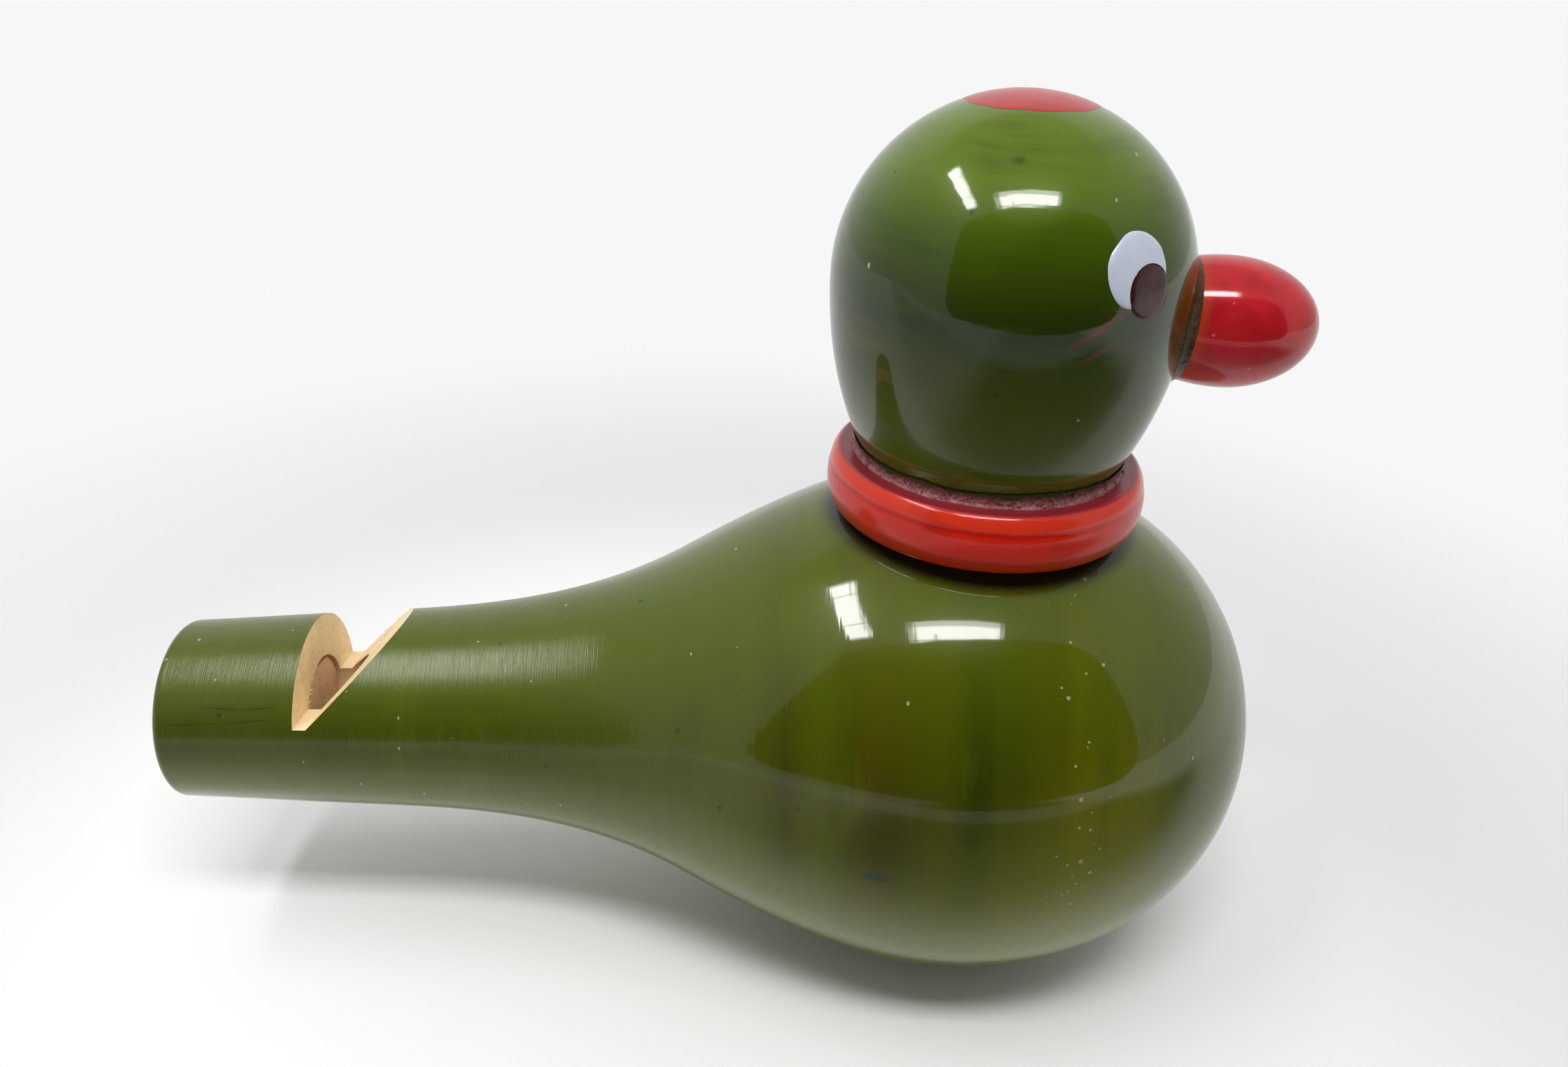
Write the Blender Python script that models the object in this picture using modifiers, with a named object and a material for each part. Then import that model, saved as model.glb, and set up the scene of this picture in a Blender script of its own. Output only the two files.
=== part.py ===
"""A lathe-turned wooden bird whistle, standing on its bulb.

Metres, +Z up. The origin lies on the small flat under the bulb, below the bulb's
widest ring. +X runs along the body's turning axis to the chest, and the
mouthpiece is the tail at -X.
"""
import math

import bmesh
import bpy
from mathutils import Matrix, Vector

# Body outline, measured along its turning axis from the bulb's widest ring
BULB_R = 0.0272
CHEST_REACH = 0.0312
CHEST_FULLNESS = 2.12
FLARE_BACK = 0.0285
FLARE_R = 0.0175
FLARE_SLOPE = 0.545
NECK_BACK = 0.0620
NECK_R = 0.0102
NECK_SLOPE = 0.050
TAIL_REACH = 0.0808
MOUTH_R = 0.0092
MOUTH_ROUND = 0.0008
BASE_FLAT_DEPTH = 0.0014

# Air path: bore from the mouth, windway over the block, chamber in the bulb
BORE_R = 0.0055
WINDWAY_HEIGHT = 0.0008
CHAMBER_R = 0.0125
CHAMBER_BACK = 0.0140
CHAMBER_SHOULDER = 0.0040

# Window cut across the neck, turned a little about the body's axis
WINDOW_BACK = 0.0669
WINDOW_FLOOR_HEIGHT = 0.0021
WINDOW_FLOOR_LENGTH = 0.0013
WINDOW_RAMP_ANGLE = math.radians(45.5)
WINDOW_TURN = math.radians(-11.0)

# Plug that closes the chamber at the chest
CAP_R = 0.0143
CAP_LENGTH = 0.0105

# Red collar on the crown of the bulb
COLLAR_X = 0.0009
COLLAR_R = 0.0154
COLLAR_HEIGHT = 0.0058
COLLAR_BELLY = 0.0027
COLLAR_FOOT_R = 0.0140
COLLAR_RIM_R = 0.0141
COLLAR_SEAT_DEPTH = 0.0026

# Dowel that joins body, collar and head
DOWEL_R = 0.0040
DOWEL_IN_BODY = 0.0085
DOWEL_IN_HEAD = 0.0110
DOWEL_CHAMFER = 0.0006

# Head: a round crown over a longer, tapering cheek
HEAD_R = 0.0162
CROWN_HEIGHT = 0.0163
CHEEK_HEIGHT = 0.0164
CHEEK_TAPER = 0.0254
CROWN_SPOT_R = 0.0060

# Beak: an egg with a tenon, glued in a flat sanded on the head
BEAK_TURN = math.radians(-9.6)
BEAK_DROOP = math.radians(2.0)
BEAK_BELOW_EQUATOR = 0.0018
BEAK_SEAT_DEPTH = 0.0006
BEAK_BASE_R = 0.0055
BEAK_R = 0.00588
BEAK_LENGTH = 0.0118
BEAK_BELLY = 0.0047
TENON_R = 0.0030
TENON_LENGTH = 0.0075

# Eyes: enamel drops in shallow pockets, mirrored about the beak
EYE_SPREAD = math.radians(55.5)
EYE_RISE = math.radians(17.0)
EYE_R = 0.0031
PUPIL_SPREAD = math.radians(51.7)
PUPIL_RISE = math.radians(11.0)
PUPIL_R = 0.0022

# Thin things: dried glue, the crown's lacquer and the eyes' enamel
COLLAR_GLUE_HEIGHT = 0.0012
COLLAR_GLUE_WIDTH = 0.0014
BEAK_GLUE_SPREAD = 0.0013
BEAK_GLUE_LIP = 0.0006
LACQUER = 0.0004
ENAMEL = 0.00015

# Clearance left between pieces that touch
GAP = 0.0003

# Facets round each turned piece, and the turn between faces that makes an edge
BODY_STEPS = 48
HEAD_STEPS = 40
SMALL_STEPS = 32
DROP_STEPS = 24
EDGE_ANGLE = math.radians(35.0)
BODY_EDGE_ANGLE = math.radians(15.0)

# Segments along each run of the outlines
CHEST_COUNT = 9
CAP_COUNT = 8
BULB_COUNT = 9
FLARE_COUNT = 9
NECK_COUNT = 3
MOUTH_COUNT = 3
COLLAR_COUNT = 6
CROWN_COUNT = 12
CHEEK_COUNT = 8
BEAK_COUNT = 9
BEAK_BACK_COUNT = 4
SPOT_COUNT = 4

# Heights above the table
AXIS_Z = BULB_R - BASE_FLAT_DEPTH
COLLAR_SEAT_Z = AXIS_Z + BULB_R - COLLAR_SEAT_DEPTH
COLLAR_FOOT_Z = COLLAR_SEAT_Z + GAP
COLLAR_TOP_Z = COLLAR_FOOT_Z + COLLAR_HEIGHT
HEAD_BASE_Z = COLLAR_TOP_Z + GAP
EQUATOR_Z = HEAD_BASE_Z + CHEEK_HEIGHT

# How far the flat under the beak lies from the head's axis
BEAK_SEAT_REACH = HEAD_R - BEAK_SEAT_DEPTH

# Far enough past any surface for a cutter to run clear
CLEAR = 0.004


def clear_scene():
    """Remove every object, so that the script can be run again."""
    for thing in list(bpy.data.objects):
        bpy.data.objects.remove(thing, do_unlink=True)


def new_collection(name):
    """Return an empty collection linked to the scene."""
    group = bpy.data.collections.new(name)
    bpy.context.scene.collection.children.link(group)
    return group


def lacquer(name, colour, roughness):
    """Return a plain Principled material of one colour."""
    finish = bpy.data.materials.new(name)
    finish.use_nodes = True
    shader = finish.node_tree.nodes["Principled BSDF"]
    shader.inputs["Base Color"].default_value = (*colour, 1.0)
    shader.inputs["Roughness"].default_value = roughness
    shader.inputs["Metallic"].default_value = 0.0
    finish.diffuse_color = (*colour, 1.0)
    return finish


def add_object(name, mesh, group, finish=None):
    """Put a mesh in the scene as a named object."""
    thing = bpy.data.objects.new(name, mesh)
    group.objects.link(thing)
    if finish:
        mesh.materials.append(finish)
    return thing


def turned(name, profile, steps, group, finish=None, closed=False):
    """Turn a profile of (radius, height) points about the object's own Z.

    The points run down the outer side. A closed profile is a ring's section, and
    an open one starts and ends on the axis.
    """
    mesh = bpy.data.meshes.new(name)
    points = [(radius, 0.0, height) for radius, height in profile]
    edges = [(i, i + 1) for i in range(len(points) - 1)]
    if closed:
        edges.append((len(points) - 1, 0))
    mesh.from_pydata(points, edges, [])
    thing = add_object(name, mesh, group, finish)
    screw = thing.modifiers.new("Turn", "SCREW")
    screw.axis = "Z"
    screw.angle = math.tau
    screw.steps = steps
    screw.render_steps = steps
    screw.use_merge_vertices = True
    screw.merge_threshold = 0.00001
    return thing


def drum(name, radius, low, high, steps, group):
    """Return a plain cylinder about Z between two heights, as a cutter."""
    work = bmesh.new()
    place = Matrix.Translation((0.0, 0.0, (low + high) / 2))
    bmesh.ops.create_cone(
        work, cap_ends=True, segments=steps, radius1=radius, radius2=radius, depth=high - low, matrix=place
    )
    return cutter_from(name, work, group)


def block(name, low, high, group):
    """Return a plain box between two corners, as a cutter."""
    size = [b - a for a, b in zip(low, high)]
    middle = [(a + b) / 2 for a, b in zip(low, high)]
    work = bmesh.new()
    bmesh.ops.create_cube(work, size=1.0, matrix=Matrix.Translation(middle) @ Matrix.Diagonal((*size, 1.0)))
    return cutter_from(name, work, group)


def cutter_from(name, work, group):
    """Turn finished bmesh work into a hidden cutter object."""
    mesh = bpy.data.meshes.new(name)
    work.to_mesh(mesh)
    work.free()
    return as_cutter(add_object(name, mesh, group))


def as_cutter(thing):
    """Hide an object from the finished part."""
    thing.hide_render = True
    thing.display_type = "WIRE"
    return thing


def prism(name, outline, thickness, group):
    """Return a cutter extruded along its own Z from a flat outline in XY."""
    curve = bpy.data.curves.new(name, "CURVE")
    curve.dimensions = "2D"
    curve.fill_mode = "BOTH"
    curve.extrude = thickness / 2
    spline = curve.splines.new("POLY")
    spline.points.add(len(outline) - 1)
    for point, (x, y) in zip(spline.points, outline):
        point.co = (x, y, 0.0, 1.0)
    spline.use_cyclic_u = True
    drawn = bpy.data.objects.new(name, curve)
    group.objects.link(drawn)
    bpy.context.view_layer.update()
    mesh = bpy.data.meshes.new_from_object(drawn.evaluated_get(bpy.context.evaluated_depsgraph_get()))
    bpy.data.objects.remove(drawn, do_unlink=True)
    work = bmesh.new()
    work.from_mesh(mesh)
    bmesh.ops.remove_doubles(work, verts=work.verts, dist=0.00001)
    bmesh.ops.recalc_face_normals(work, faces=work.faces)
    return cutter_from(name, work, group)


def cut(target, cutter):
    """Take the cutter out of the target with a live Boolean."""
    step = target.modifiers.new("Cut " + cutter.name, "BOOLEAN")
    step.operation = "DIFFERENCE"
    step.solver = "EXACT"
    step.object = cutter


def settle(pieces):
    """Apply each piece's modifiers, then shade it smooth up to its edges."""
    bpy.context.view_layer.update()
    graph = bpy.context.evaluated_depsgraph_get()
    finished = [bpy.data.meshes.new_from_object(piece.evaluated_get(graph)) for piece in pieces]
    for piece, mesh in zip(pieces, finished):
        piece.modifiers.clear()
        piece.data = mesh
        mesh.shade_smooth()
        mesh.set_sharp_from_angle(angle=EDGE_ANGLE)


def along_x(thing):
    """Lay a piece turned about Z along the body's axis, its top to the chest."""
    thing.rotation_euler = (0.0, math.pi / 2, 0.0)
    thing.location = (0.0, 0.0, AXIS_Z)
    return thing


def ease(t, start, end, start_slope, end_slope):
    """Return the height of a smooth curve that leaves and arrives at given slopes."""
    return (
        (2 * t**3 - 3 * t**2 + 1) * start
        + (t**3 - 2 * t**2 + t) * start_slope
        + (3 * t**2 - 2 * t**3) * end
        + (t**3 - t**2) * end_slope
    )


def quarter_turn(count):
    """Return evenly spaced angles from none to a right angle."""
    return [math.pi / 2 * i / count for i in range(count + 1)]


def body_back():
    """Return the body's outline from the bulb's widest ring back to the mouth."""
    stations = (
        (0.0, BULB_R, 0.0, BULB_COUNT),
        (-FLARE_BACK, FLARE_R, FLARE_SLOPE, FLARE_COUNT),
        (-NECK_BACK, NECK_R, NECK_SLOPE, NECK_COUNT),
        (-TAIL_REACH + MOUTH_ROUND, MOUTH_R, NECK_SLOPE, 0),
    )
    outline = []
    for (x0, r0, slope0, count), (x1, r1, slope1, _) in zip(stations, stations[1:]):
        span = x1 - x0
        steps = [i / count for i in range(count)]
        outline += [(ease(t, r0, r1, slope0 * span, slope1 * span), x0 + span * t) for t in steps]
    for a in quarter_turn(MOUTH_COUNT):
        inset, back = MOUTH_ROUND * (1 - math.cos(a)), MOUTH_ROUND * (1 - math.sin(a))
        outline.append((MOUTH_R - inset, -TAIL_REACH + back))
    return outline


def chest_arc(outer, inner, count):
    """Return points on the chest from one radius to another, top first."""
    bend = 2 / CHEST_FULLNESS
    start = math.acos((inner / BULB_R) ** (1 / bend))
    end = math.acos(min(1.0, (outer / BULB_R) ** (1 / bend)))
    angles = [start + (end - start) * i / count for i in range(count + 1)]
    return [(BULB_R * abs(math.cos(a)) ** bend, CHEST_REACH * abs(math.sin(a)) ** bend) for a in angles]


def make_body(group, cutters, finish):
    """Turn the hollow body, then cut window, collar seat, dowel hole and base."""
    outside = chest_arc(BULB_R, CAP_R, CHEST_COUNT)[:-1] + body_back()
    inside = [
        (BORE_R, -TAIL_REACH),
        (BORE_R, -CHAMBER_BACK),
        (CHAMBER_R, -CHAMBER_BACK + CHAMBER_SHOULDER),
        (CHAMBER_R, cap_shoulder_x()),
        (CAP_R, cap_shoulder_x()),
    ]
    body = along_x(turned("body", outside + inside, BODY_STEPS, group, finish, closed=True))
    cut(body, window_cutter(cutters))
    above = AXIS_Z + BULB_R + CLEAR
    collar_seat = drum("collar_seat_cutter", COLLAR_FOOT_R, COLLAR_SEAT_Z, above, BODY_STEPS, cutters)
    collar_seat.location.x = COLLAR_X
    cut(body, collar_seat)
    hole_foot = COLLAR_SEAT_Z - DOWEL_IN_BODY
    dowel_hole = drum("dowel_hole_cutter", DOWEL_R + GAP, hole_foot, above, SMALL_STEPS, cutters)
    dowel_hole.location.x = COLLAR_X
    cut(body, dowel_hole)
    table = block("base_flat_cutter", (-BULB_R, -BULB_R, -CLEAR), (BULB_R, BULB_R, 0.0), cutters)
    cut(body, table)
    return body


def cap_shoulder_x():
    """Return where the chamber's shoulder stands, behind the chest plug."""
    return CHEST_REACH - CAP_LENGTH


def window_cutter(cutters):
    """Return the wedge that leaves an upright face, a narrow floor and a ramp."""
    top = FLARE_R
    floor_end = -WINDOW_BACK + WINDOW_FLOOR_LENGTH
    ramp_end = floor_end + (top - WINDOW_FLOOR_HEIGHT) / math.tan(WINDOW_RAMP_ANGLE)
    outline = [
        (-WINDOW_BACK, WINDOW_FLOOR_HEIGHT),
        (floor_end, WINDOW_FLOOR_HEIGHT),
        (ramp_end, top),
        (-WINDOW_BACK, top),
    ]
    wedge = prism("window_cutter", outline, 2 * FLARE_R, cutters)
    wedge.rotation_euler = (math.pi / 2 + WINDOW_TURN, 0.0, 0.0)
    wedge.location = (0.0, 0.0, AXIS_Z)
    return wedge


def make_fipple_block(group, cutters, finish):
    """Turn the plug in the mouth bore and plane its top to leave the windway."""
    radius = BORE_R - GAP
    back, front = -TAIL_REACH, -WINDOW_BACK
    profile = [(0.0, front), (radius, front), (radius, back), (0.0, back)]
    plug = along_x(turned("fipple_block", profile, SMALL_STEPS, group, finish))
    flat = BORE_R - WINDWAY_HEIGHT
    side = BORE_R + CLEAR
    plane = block("windway_cutter", (back - CLEAR, -side, flat), (front + CLEAR, side, side), cutters)
    plane.rotation_euler = (WINDOW_TURN, 0.0, 0.0)
    plane.location = (0.0, 0.0, AXIS_Z)
    cut(plug, plane)
    return plug


def make_chest_cap(group, finish):
    """Turn the plug whose domed end carries on the line of the chest."""
    radius = CAP_R - GAP
    dome = chest_arc(radius, 0.0, CAP_COUNT)
    dome[0] = (0.0, CHEST_REACH)
    profile = dome + [(radius, cap_shoulder_x() + GAP), (0.0, cap_shoulder_x() + GAP)]
    return along_x(turned("chest_cap", profile, BODY_STEPS, group, finish))


def make_collar(group, finish):
    """Turn the rounded red ring, with its hole for the dowel."""
    hole = DOWEL_R + GAP
    rim, foot, rise = COLLAR_R - COLLAR_RIM_R, COLLAR_R - COLLAR_FOOT_R, COLLAR_HEIGHT - COLLAR_BELLY
    turns = quarter_turn(COLLAR_COUNT)
    shoulder = [(COLLAR_RIM_R + rim * math.sin(a), COLLAR_BELLY + rise * math.cos(a)) for a in turns]
    heel = [(COLLAR_FOOT_R + foot * math.cos(a), COLLAR_BELLY * (1 - math.sin(a))) for a in turns[1:]]
    profile = shoulder + heel + [(hole, 0.0), (hole, COLLAR_HEIGHT)]
    collar = turned("collar", profile, HEAD_STEPS, group, finish, closed=True)
    collar.location = (COLLAR_X, 0.0, COLLAR_FOOT_Z)
    return collar


def make_dowel(group, finish):
    """Turn the pin that runs from the body through the collar into the head."""
    low = COLLAR_SEAT_Z - DOWEL_IN_BODY + GAP
    high = HEAD_BASE_Z + DOWEL_IN_HEAD - GAP
    inner = DOWEL_R - DOWEL_CHAMFER
    profile = [
        (0.0, high),
        (inner, high),
        (DOWEL_R, high - DOWEL_CHAMFER),
        (DOWEL_R, low + DOWEL_CHAMFER),
        (inner, low),
        (0.0, low),
    ]
    dowel = turned("neck_dowel", profile, DROP_STEPS, group, finish)
    dowel.location.x = COLLAR_X
    return dowel


def cheek_radius(height, grow=0.0):
    """Return the head's radius below its equator, at a height from the equator."""
    return (HEAD_R + grow) * math.sqrt(max(0.0, 1 - (height / (CHEEK_TAPER + grow)) ** 2))


def head_outline(grow=0.0, start_r=0.0):
    """Return the head's outer points, top to bottom, from a radius on the crown."""
    wide, tall = HEAD_R + grow, CROWN_HEIGHT + grow
    first = math.acos(min(1.0, start_r / wide))
    crown = [first * (1 - i / CROWN_COUNT) for i in range(CROWN_COUNT + 1)]
    points = [(wide * math.cos(a) if a < math.pi / 2 else 0.0, tall * math.sin(a)) for a in crown]
    cheek = [-(CHEEK_HEIGHT + grow) * i / CHEEK_COUNT for i in range(1, CHEEK_COUNT + 1)]
    return points + [(cheek_radius(h, grow), h) for h in cheek]


def head_place():
    """Return the head's equator centre, which its outline is measured from."""
    return Vector((COLLAR_X, 0.0, EQUATOR_Z))


def make_head(group, cutters, finish):
    """Turn the head, then drill the dowel hole and cut the beak and eye seats."""
    spot_r = CROWN_SPOT_R + GAP
    recess = spot_arc(spot_r, -LACQUER - GAP)
    profile = recess + head_outline(start_r=spot_r) + [(0.0, -CHEEK_HEIGHT)]
    head = turned("head", profile, HEAD_STEPS, group, finish)
    head.location = head_place()
    low, high = HEAD_BASE_Z - CLEAR, HEAD_BASE_Z + DOWEL_IN_HEAD
    hole = drum("head_hole_cutter", DOWEL_R + GAP, low, high, SMALL_STEPS, cutters)
    hole.location.x = COLLAR_X
    cut(head, hole)
    cut(head, beak_seat_cutter(cutters))
    cut(head, beak_hole_cutter(cutters))
    return head


def spot_arc(radius, grow):
    """Return a piece of the crown from the axis out to a radius."""
    wide, tall = HEAD_R + grow, CROWN_HEIGHT + grow
    radii = [radius * i / SPOT_COUNT for i in range(SPOT_COUNT + 1)]
    return [(r, tall * math.sqrt(1 - (r / wide) ** 2)) for r in radii]


def make_crown_spot(group, finish):
    """Turn the red lacquer spot, let into the crown so that it lies flush."""
    top = spot_arc(CROWN_SPOT_R, 0.0)
    under = spot_arc(CROWN_SPOT_R, -LACQUER)
    spot = turned("crown_spot", top + under[::-1], SMALL_STEPS, group, finish)
    spot.location = head_place()
    return spot


def make_collar_glue(group, finish):
    """Turn the bead of dried glue in the corner of collar and head."""
    foot = -CHEEK_HEIGHT
    top = foot + COLLAR_GLUE_HEIGHT
    inner = cheek_radius(foot) + GAP
    outer = inner + COLLAR_GLUE_WIDTH
    inner_top = cheek_radius(top) + GAP
    reach = outer - inner_top
    hollow = [
        (inner_top + reach * (1 - math.cos(a)), foot + COLLAR_GLUE_HEIGHT * (1 - math.sin(a)))
        for a in quarter_turn(SPOT_COUNT)
    ]
    profile = hollow + [(inner, foot)]
    glue = turned("collar_glue", profile, HEAD_STEPS, group, finish, closed=True)
    glue.location = head_place()
    return glue


def beak_frame():
    """Return the beak's placement: local Z runs out along it from its seat."""
    tilt = Matrix.Rotation(BEAK_TURN, 4, "Z") @ Matrix.Rotation(math.pi / 2 + BEAK_DROOP, 4, "Y")
    out = (tilt @ Vector((0.0, 0.0, 1.0))).normalized()
    centre = head_place() - Vector((0.0, 0.0, BEAK_BELOW_EQUATOR))
    return Matrix.Translation(centre + out * BEAK_SEAT_REACH) @ tilt


def beak_seat_cutter(cutters):
    """Return the cutter for the small flat that the beak's shoulder meets."""
    seat = drum("beak_seat_cutter", BEAK_BASE_R + GAP, 0.0, CLEAR, SMALL_STEPS, cutters)
    seat.matrix_world = beak_frame()
    return seat


def beak_hole_cutter(cutters):
    """Return the drill for the beak's tenon."""
    hole = drum("beak_hole_cutter", TENON_R + GAP, -TENON_LENGTH - GAP, CLEAR, SMALL_STEPS, cutters)
    hole.matrix_world = beak_frame()
    return hole


def beak_profile(grow=0.0):
    """Return the beak's section from its tip down to the end of its tenon."""
    wide = BEAK_R + grow
    belly = BEAK_BELLY
    nose = BEAK_LENGTH - belly + grow
    front = [
        (wide * math.cos(a) if a < math.pi / 2 else 0.0, belly + nose * math.sin(a))
        for a in (math.pi / 2 * (1 - i / BEAK_COUNT) for i in range(BEAK_COUNT + 1))
    ]
    reach = belly / math.sqrt(1 - (BEAK_BASE_R / BEAK_R) ** 2)
    back = [
        (wide * math.sqrt(1 - ((belly - h) / reach) ** 2), h)
        for h in (belly * (1 - i / BEAK_BACK_COUNT) for i in range(1, BEAK_BACK_COUNT + 1))
    ]
    tenon = TENON_R + grow
    return front + back + [(tenon, -grow), (tenon, -TENON_LENGTH - grow), (0.0, -TENON_LENGTH - grow)]


def make_beak(group, finish):
    """Turn the egg-shaped beak with the tenon that goes into the head."""
    beak = turned("beak", beak_profile(), SMALL_STEPS, group, finish)
    beak.matrix_world = beak_frame() @ Matrix.Translation((0.0, 0.0, GAP))
    return beak


def make_beak_glue(group, cutters, finish):
    """Make the bead of dried glue round the foot of the beak."""
    inner = BEAK_BASE_R + GAP
    outer = inner + BEAK_GLUE_SPREAD
    foot = math.sqrt((HEAD_R + GAP) ** 2 - outer**2) - BEAK_SEAT_REACH - GAP
    slope = [
        (inner + BEAK_GLUE_SPREAD * math.sin(a), foot + (BEAK_GLUE_LIP - foot) * math.cos(a))
        for a in quarter_turn(BEAK_BACK_COUNT)
    ]
    bead = slope + [(BEAK_BASE_R, foot), (BEAK_BASE_R, BEAK_GLUE_LIP)]
    glue = turned("beak_glue", bead, SMALL_STEPS, group, finish, closed=True)
    glue.matrix_world = beak_frame()
    head_clear = as_cutter(turned("head_clearance", closed_outline(GAP), HEAD_STEPS, cutters))
    head_clear.location = head_place()
    beak_clear = as_cutter(turned("beak_clearance", beak_profile(GAP), SMALL_STEPS, cutters))
    beak_clear.matrix_world = beak_frame() @ Matrix.Translation((0.0, 0.0, GAP))
    cut(glue, head_clear)
    cut(glue, beak_clear)
    return glue


def closed_outline(grow):
    """Return the head's whole section, ready to turn as one solid."""
    outline = head_outline(grow)
    return outline + [(0.0, outline[-1][1])]


def head_surface(turn, rise):
    """Return a point on the head and a frame there whose Z leaves the surface."""
    way = Vector((math.cos(rise) * math.cos(turn), math.cos(rise) * math.sin(turn), math.sin(rise)))
    scale = 1 / math.sqrt((math.cos(rise) / HEAD_R) ** 2 + (math.sin(rise) / CROWN_HEIGHT) ** 2)
    point = way * scale
    normal = Vector((point.x / HEAD_R**2, point.y / HEAD_R**2, point.z / CROWN_HEIGHT**2)).normalized()
    tilt = normal.to_track_quat("Z", "Y").to_matrix().to_4x4()
    return Matrix.Translation(head_place() + point) @ tilt


def drop_depth(radius):
    """Return how deep a drop reaches under the top of its own dome."""
    return HEAD_R - math.sqrt(HEAD_R**2 - radius**2) + ENAMEL


def drop_profile(radius):
    """Return the section of a shallow domed drop that lies flush in its pocket."""
    sag, back = drop_depth(radius) - ENAMEL, -drop_depth(radius)
    steps = [i / SPOT_COUNT for i in range(SPOT_COUNT + 1)]
    return [(radius * t, -sag * t**2) for t in steps] + [(radius, back), (0.0, back)]


def make_eye(side, sign, head, group, cutters, white, black):
    """Seat one eye: a white crescent and the pupil that covers its lower front."""
    eye_place = head_surface(BEAK_TURN + sign * EYE_SPREAD, EYE_RISE)
    pupil_place = head_surface(BEAK_TURN + sign * PUPIL_SPREAD, PUPIL_RISE)
    eye = turned("eye_white_" + side, drop_profile(EYE_R), DROP_STEPS, group, white)
    eye.matrix_world = eye_place
    pupil = turned("pupil_" + side, drop_profile(PUPIL_R), DROP_STEPS, group, black)
    pupil.matrix_world = pupil_place
    pockets = []
    for name, radius, place in (("eye", EYE_R, eye_place), ("pupil", PUPIL_R, pupil_place)):
        floor = -drop_depth(radius) - GAP
        pocket = drum(name + "_pocket_" + side, radius + GAP, floor, CLEAR, DROP_STEPS, cutters)
        pocket.matrix_world = place
        pockets.append(pocket)
    notch = drum("pupil_clearance_" + side, PUPIL_R + GAP, -CLEAR, CLEAR, DROP_STEPS, cutters)
    notch.matrix_world = pupil_place
    for pocket in pockets:
        cut(head, pocket)
    cut(eye, notch)
    return eye, pupil


def main():
    """Build the whole whistle under one empty."""
    clear_scene()
    group = new_collection("wooden_whistle")
    cutters = new_collection("cutters")
    green = lacquer("body", (0.10, 0.17, 0.02), 0.12)
    dark_green = lacquer("head", (0.07, 0.15, 0.02), 0.12)
    red = lacquer("collar", (0.62, 0.05, 0.03), 0.15)
    beak_red = lacquer("beak", (0.55, 0.02, 0.03), 0.12)
    spot_red = lacquer("crown_spot", (0.60, 0.10, 0.10), 0.2)
    pale_wood = lacquer("fipple_block", (0.72, 0.50, 0.30), 0.7)
    cap_green = lacquer("chest_cap", (0.10, 0.17, 0.02), 0.12)
    dowel_wood = lacquer("neck_dowel", (0.72, 0.50, 0.30), 0.7)
    purple_glue = lacquer("collar_glue", (0.16, 0.05, 0.09), 0.4)
    brown_glue = lacquer("beak_glue", (0.15, 0.08, 0.03), 0.4)
    white = lacquer("eye_white", (0.78, 0.80, 0.86), 0.3)
    black = lacquer("pupil", (0.07, 0.03, 0.04), 0.4)

    body = make_body(group, cutters, green)
    head = make_head(group, cutters, dark_green)
    pieces = [
        body,
        make_fipple_block(group, cutters, pale_wood),
        make_chest_cap(group, cap_green),
        make_collar(group, red),
        make_dowel(group, dowel_wood),
        make_collar_glue(group, purple_glue),
        head,
        make_crown_spot(group, spot_red),
        make_beak(group, beak_red),
        make_beak_glue(group, cutters, brown_glue),
    ]
    for side, sign in (("right", -1), ("left", 1)):
        pieces += make_eye(side, sign, head, group, cutters, white, black)
    root = bpy.data.objects.new("whistle", None)
    group.objects.link(root)
    for piece in pieces:
        piece.parent = root
    settle(pieces)
    body.data.set_sharp_from_angle(angle=BODY_EDGE_ANGLE)


main()
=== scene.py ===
"""The looks of a lathe-turned wooden bird whistle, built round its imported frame.

Metres, +Z up. Every piece stands where the frame's own solid stands, so its
sizes are the solid's sizes, and the file adds the finer turning, the painted
and glued details, the finishes, the studio and the viewpoint.
"""

import logging  # noqa: E402
import math  # noqa: E402
import random  # noqa: E402
from collections.abc import Callable, Sequence  # noqa: E402
from dataclasses import dataclass  # noqa: E402
from enum import Enum  # noqa: E402

import bmesh  # noqa: E402
import bpy  # noqa: E402
from mathutils import Matrix, Vector, noise  # noqa: E402


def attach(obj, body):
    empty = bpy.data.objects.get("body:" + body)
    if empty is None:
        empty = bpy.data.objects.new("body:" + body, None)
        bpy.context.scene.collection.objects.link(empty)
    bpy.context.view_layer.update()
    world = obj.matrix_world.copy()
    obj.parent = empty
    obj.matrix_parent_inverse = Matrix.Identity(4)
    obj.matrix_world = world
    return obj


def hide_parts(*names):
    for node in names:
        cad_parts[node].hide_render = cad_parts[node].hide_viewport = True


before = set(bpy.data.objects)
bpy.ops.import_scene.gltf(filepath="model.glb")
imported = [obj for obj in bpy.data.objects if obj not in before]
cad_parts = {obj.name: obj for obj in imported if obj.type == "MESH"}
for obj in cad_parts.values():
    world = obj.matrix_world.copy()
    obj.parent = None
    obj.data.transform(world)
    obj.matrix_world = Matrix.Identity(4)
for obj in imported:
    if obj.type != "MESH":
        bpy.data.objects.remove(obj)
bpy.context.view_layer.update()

log = logging.getLogger("whistle")

ROOT = "root"
WHITE = (1.0, 1.0, 1.0)
# The least space between a film, a fibre or glue and what it lies on, in metres.
HAIR = 0.00001
# How far a cutter runs past the piece that it cuts, in metres.
PAST = 0.004

Colour = tuple[float, float, float]
Point = tuple[float, float, float]
Profile = list[tuple[float, float]]
Bands = tuple[tuple[float, Colour], ...]
Socket = bpy.types.NodeSocket
Source = Socket | float | Sequence[float]


class Side(Enum):
    """Which side of the beak an eye is on, seen from the bird."""

    RIGHT = -1
    LEFT = 1


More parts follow.
